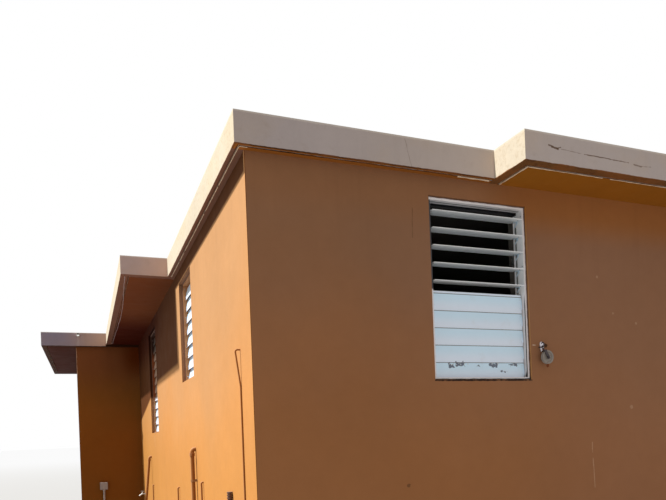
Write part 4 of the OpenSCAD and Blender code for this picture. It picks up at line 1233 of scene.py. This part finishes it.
class HOUSE_OT_rivets(bpy.types.Operator):
    """Set the rivets of the blades and the screws of the window frames"""
    bl_idname = "house.rivets"
    bl_label = "Rivets and screws"

    def execute(self, context):
        sizes = context.scene.house_sizes
        tree = stud_tree()
        dull = coated_material("rivet_metal", (0.34, 0.33, 0.32), (0.22, 0.12, 0.07), 0.45, metallic=0.25,
                               worn_metallic=0.1, worn=0.3, dust=0.3, marks=rivet_marks)
        places, facing = [], []
        for win in WINDOWS:
            for index in range(win["blades"]):
                is_open = index >= win["blades"] - win["opened"]
                for along in (BLADE_END_IN + RIVET_IN, win["width"] - BLADE_END_IN - RIVET_IN):
                    for s in (-RIVET_OFF, RIVET_OFF):
                        for side in (-1, 1) if is_open else (-1,):
                            place, normal = blade_face(win, index, along, s, side)
                            places.append(place)
                            facing.append(normal)
        grow("blade_rivets", tree, {"Radius": sizes.rivet, "Rise": 0.45}, dull, "mill_aluminium", places,
             facing=facing)
        places, facing = [], []
        for win in WINDOWS:
            for share in (0.06, 0.36, 0.66, 0.95):
                for along, turn in ((FRAME_FACE, 1), (win["width"] - FRAME_FACE, -1)):
                    places.append(on_window(win, along, share * win["height"], 0.014))
                    facing.append(win["along"] * turn)
        grow("frame_screws", tree, {"Radius": sizes.screw, "Rise": 0.4}, dull, "mill_aluminium", places,
             facing=facing)
        return {"FINISHED"}


# Flakes: place along the lowest left blade, and height from its middle
FLAKES = (
    (0.128, 0.034), (0.142, 0.030), (0.156, 0.036), (0.175, 0.031), (0.192, 0.037), (0.205, 0.032),
    (0.232, 0.036), (0.256, 0.034), (0.430, 0.036), (0.452, 0.031), (0.473, 0.036), (0.588, 0.034),
    (0.610, 0.038), (0.630, 0.033), (0.520, -0.008), (0.538, -0.010),
)


def flake_rings(along, s, draw):
    """Upper and lower ring of a curled flake."""
    size = draw.uniform(0.004, 0.009)
    sides = draw.randint(6, 8)
    start = draw.uniform(0, 6.28)
    rings = []
    for lift in (0.0005, 0.0):
        ring = []
        for i in range(sides):
            angle = start + 6.283 * i / sides
            reach = size * (0.65 + 0.35 * math.sin(3.1 * i + start))
            da, ds = reach * math.cos(angle), 0.8 * reach * math.sin(angle)
            point, normal = blade_face(FRONT_WINDOWS[0], 0, along + da, s + ds)
            curl = 0.0035 * max(0.0, ds / size) ** 2 + 0.0004
            ring.append(point + normal * (lift + curl))
        rings.append(ring)
    return rings


class HOUSE_OT_flakes(bpy.types.Operator):
    """Lift flakes of enamel off the lowest blade of the left front window"""
    bl_idname = "house.flakes"
    bl_label = "Enamel flakes"

    def execute(self, context):
        draw = random.Random(11)
        solids = [flake_rings(along, s, draw) for along, s in FLAKES]
        flaked = coated_material("lifted_enamel", (0.66, 0.70, 0.72), (0.5, 0.47, 0.42), 0.5, dust=0.5)
        lofted_piece("enamel_flakes", solids, flaked)
        return {"FINISHED"}


class HOUSE_OT_pipes(bpy.types.Operator):
    """Finish the pipes, straps, tap and outlet box, and add the ribs of the elbows"""
    bl_idname = "house.pipes"
    bl_label = "Pipes"

    def execute(self, context):
        paint, sizes = context.scene.house_paint, context.scene.house_sizes
        painted = coated_material("pipe_paint", paint.pipe, (0.30, 0.25, 0.21), 0.6, contrast=0.2, worn=0.14,
                                  worn_scale=26.0, dust=0.3, relief=0.0008, relief_scale=60.0,
                                  stretch=(1, 1, 0.25), streak=0.15, specular=0.15, marks=pipe_marks)
        put_on(painted, "waste_pipe", "conduit", "thin_pipes", "water_riser")
        put_on(coated_material("cap_paint", (0.10, 0.042, 0.024), (0.20, 0.12, 0.08), 0.7, contrast=0.25,
                               worn=0.12, worn_scale=30.0, dust=0.3, relief=0.0006), "capped_riser")
        put_on(coated_material("dull_zinc", (0.42, 0.42, 0.40), (0.40, 0.19, 0.085), 0.5, metallic=0.8,
                               worn=0.42, worn_scale=40.0, contrast=0.3), "garden_tap")
        put_on(coated_material("strap_paint", (0.27, 0.125, 0.05), (0.42, 0.42, 0.40), 0.6, worn_metallic=0.8,
                               worn=0.12, worn_scale=40.0, contrast=0.3, specular=0.2), "pipe_straps")
        put_on(coated_material("grey_plastic", (0.26, 0.22, 0.21), (0.36, 0.20, 0.11), 0.55, worn=0.16,
                               dust=0.7, worn_scale=35.0, streak=0.2), "outlet_box")
        axis = [at(-HALF_W - WASTE_OFF, WASTE_Y, WASTE_COLLAR_Z + up) for up in (0.003, 0.0233)]
        grow("elbow_ribs", rib_tree(), {"Ring": WASTE_COLLAR_R, "Thickness": sizes.rib, "Count": 4}, painted,
             "pipe_paint", *joined([axis]))
        return {"FINISHED"}


# Outline of the bracket on the wall beside the hook: two prongs under a round head
BRACKET = (
    (-0.012, 0.004), (-0.010, -0.026), (-0.003, -0.046), (0.004, -0.044), (0.001, -0.024), (0.001, -0.002),
    (0.005, -0.006), (0.009, -0.022), (0.015, -0.020), (0.015, 0.002), (0.012, 0.012), (0.005, 0.018),
    (-0.004, 0.018), (-0.010, 0.012),
)


def disc_rings(centre, sides, radius, ends, chamfer, turn=0.0):
    """Rings of a chamfered disc whose axis runs along Y from end to end."""
    low, high = sorted(ends)
    angles = [turn + 2 * math.pi * i / sides for i in range(sides)]
    small = radius - chamfer
    return [[centre + Vector((r * math.cos(angle), y, r * math.sin(angle))) for angle in angles]
            for y, r in ((low, small), (low + chamfer, radius), (high - chamfer, radius), (high, small))]


class HOUSE_OT_pulley(bpy.types.Operator):
    """Finish the line pulley, and add its axle nuts and the bracket beside its hook"""
    bl_idname = "house.pulley"
    bl_label = "Line pulley"

    def execute(self, context):
        iron = coated_material("pulley_metal", (0.055, 0.042, 0.045), (0.12, 0.045, 0.025), 0.5, metallic=0.5,
                               worn_metallic=0.05, worn=0.15, worn_scale=90.0, contrast=0.35, dust=0.05,
                               relief=0.0005)
        put_on(iron, "pulley_hook", "pulley_strap")
        wheel = coated_material("pulley_wheel_metal", (0.235, 0.20, 0.17), (0.20, 0.085, 0.04), 0.55,
                                metallic=0.3, worn_metallic=0.05, worn=0.3, worn_scale=70.0, contrast=0.35)
        put_on(wheel, "pulley_wheel")
        hook = at(*HOOK)
        axle = hook + Matrix.Rotation(-SWING, 3, "Y") @ Vector((0, 0, -WHEEL_DROP))
        solids = []
        for s in (-1, 1):
            solids.append(disc_rings(axle, 6, 0.0075, (s * 0.0118, s * 0.0168), 0.0006, 0.3))
            solids.append(disc_rings(axle, 24, 0.0095, (s * 0.0116, s * 0.0128), 0.0002))
        lofted_piece("pulley_nuts", solids, iron)
        bright = coated_material("bracket_metal", (0.66, 0.62, 0.66), (0.30, 0.20, 0.15), 0.35, metallic=0.35,
                                 worn_metallic=0.1, worn=0.16, worn_scale=120.0, dust=0.2)
        middle = at(HOOK.x + 0.018, 0, HOOK.z + 0.018)
        rings = [[middle + Vector((a * share, -out, b * share)) for a, b in BRACKET]
                 for out, share in ((0.0, 1.0), (0.004, 1.0), (0.0055, 0.86))]
        lofted_piece("hook_bracket", [rings], bright)
        return {"FINISHED"}


class HOUSE_OT_door(bpy.types.Operator):
    """Finish the rear door, its frame, hinges and handles"""
    bl_idname = "house.door"
    bl_label = "Rear door"

    def execute(self, context):
        put_on(coated_material("door_paint", (0.60, 0.57, 0.52), (0.26, 0.17, 0.10), 0.42, contrast=0.14,
                               worn=0.05, worn_scale=20.0, relief=0.0007, relief_scale=150.0,
                               stretch=(1, 1, 0.06)), "door_frame", "door_leaf")
        put_on(coated_material("satin_steel", (0.52, 0.51, 0.49), (0.30, 0.22, 0.16), 0.32, metallic=1.0,
                               worn_metallic=0.6, worn=0.12), "door_hinges", "door_handles")
        return {"FINISHED"}


class HOUSE_OT_studio(bpy.types.Operator):
    """Set up the floor, the light, the backdrop and the camera"""
    bl_idname = "house.studio"
    bl_label = "Studio"

    def execute(self, context):
        studio = context.scene.house_studio
        scene = context.scene
        sides, radius = 96, 150.0
        angles = [2 * math.pi * i / sides for i in range(sides)]
        rim = [Vector((radius * math.cos(angle), radius * math.sin(angle), 0)) for angle in angles]
        floor = plain_object("studio_floor", rim, [tuple(range(sides))])
        material, g, shader = new_material("studio_floor")
        path = g.node("ShaderNodeLightPath").outputs
        x, y, _ = g.split(g.place())
        far = g.math("SQRT", g.add(g.times(x, x), g.times(y, y)))
        pale = g.mix(g.ramp(far, 9.0, 45.0), studio.floor, (0.385, 0.385, 0.385))
        seen = g.most(path["Is Camera Ray"], path["Is Glossy Ray"])
        g.feed(shader["Base Color"], g.mix(seen, studio.bounce, pale))
        shader["Roughness"].default_value = 0.9
        shader["Specular IOR Level"].default_value = 0.0
        floor.data.materials.append(material)
        key = bpy.data.lights.new("key_light", "SUN")
        key.energy = studio.sun
        key.angle = studio.softness
        lamp = link_object("key_light", key)
        lamp.rotation_euler = Vector(studio.travel).to_track_quat("-Z", "Y").to_euler()
        world = bpy.data.worlds.new("studio")
        world.use_nodes = True
        w = Graph(world.node_tree)
        w.tree.nodes.clear()
        ray = w.node("ShaderNodeLightPath").outputs
        seen = w.most(ray["Is Camera Ray"], ray["Is Glossy Ray"], ray["Is Transmission Ray"])
        back = w.node("ShaderNodeBackground", {
            "Color": (1, 1, 1), "Strength": w.ramp(seen, 0.0, 1.0, studio.fill, 1.0)})
        w.feed(w.node("ShaderNodeOutputWorld").inputs["Surface"], back.outputs[0])
        scene.world = world
        lens = bpy.data.cameras.new("camera")
        lens.lens = studio.lens
        lens.sensor_width = 36.0
        lens.shift_y = studio.rise
        lens.clip_end = 500.0
        camera = link_object("camera", lens)
        camera.matrix_world = (
            Matrix.Translation(studio.place) @ Matrix.Rotation(-studio.heading, 4, "Z")
            @ Matrix.Rotation(math.pi / 2, 4, "X") @ Matrix.Rotation(studio.roll, 4, "Z"))
        scene.camera = camera
        scene.view_settings.view_transform = "Standard"
        return {"FINISHED"}


OPERATORS = (HOUSE_OT_walls, HOUSE_OT_roof, HOUSE_OT_floor, HOUSE_OT_windows, HOUSE_OT_sealant,
             HOUSE_OT_rivets, HOUSE_OT_flakes, HOUSE_OT_pipes, HOUSE_OT_pulley, HOUSE_OT_door,
             HOUSE_OT_studio)


class HOUSE_PT_panel(bpy.types.Panel):
    """Lists the house's pieces and its settings"""
    bl_idname = "HOUSE_PT_panel"
    bl_label = "House"
    bl_space_type = "VIEW_3D"
    bl_region_type = "UI"
    bl_category = "House"

    def draw(self, context):
        for operator in OPERATORS:
            self.layout.operator(operator.bl_idname)
        scene = context.scene
        for group in (scene.house_paint, scene.house_sizes, scene.house_studio):
            column = self.layout.column()
            for name in group.bl_rna.properties.keys():
                if name not in ("rna_type", "name"):
                    column.prop(group, name)


CLASSES = (HousePaint, HouseSizes, HouseStudio, *OPERATORS, HOUSE_PT_panel)


def register():
    for cls in CLASSES:
        bpy.utils.register_class(cls)
    bpy.types.Scene.house_paint = bpy.props.PointerProperty(type=HousePaint)
    bpy.types.Scene.house_sizes = bpy.props.PointerProperty(type=HouseSizes)
    bpy.types.Scene.house_studio = bpy.props.PointerProperty(type=HouseStudio)


def unregister():
    del bpy.types.Scene.house_paint
    del bpy.types.Scene.house_sizes
    del bpy.types.Scene.house_studio
    for cls in reversed(CLASSES):
        bpy.utils.unregister_class(cls)


def main():
    register()
    for operator in OPERATORS:
        group, name = operator.bl_idname.split(".")
        getattr(getattr(bpy.ops, group), name)()


if __name__ == "__main__":
    main()
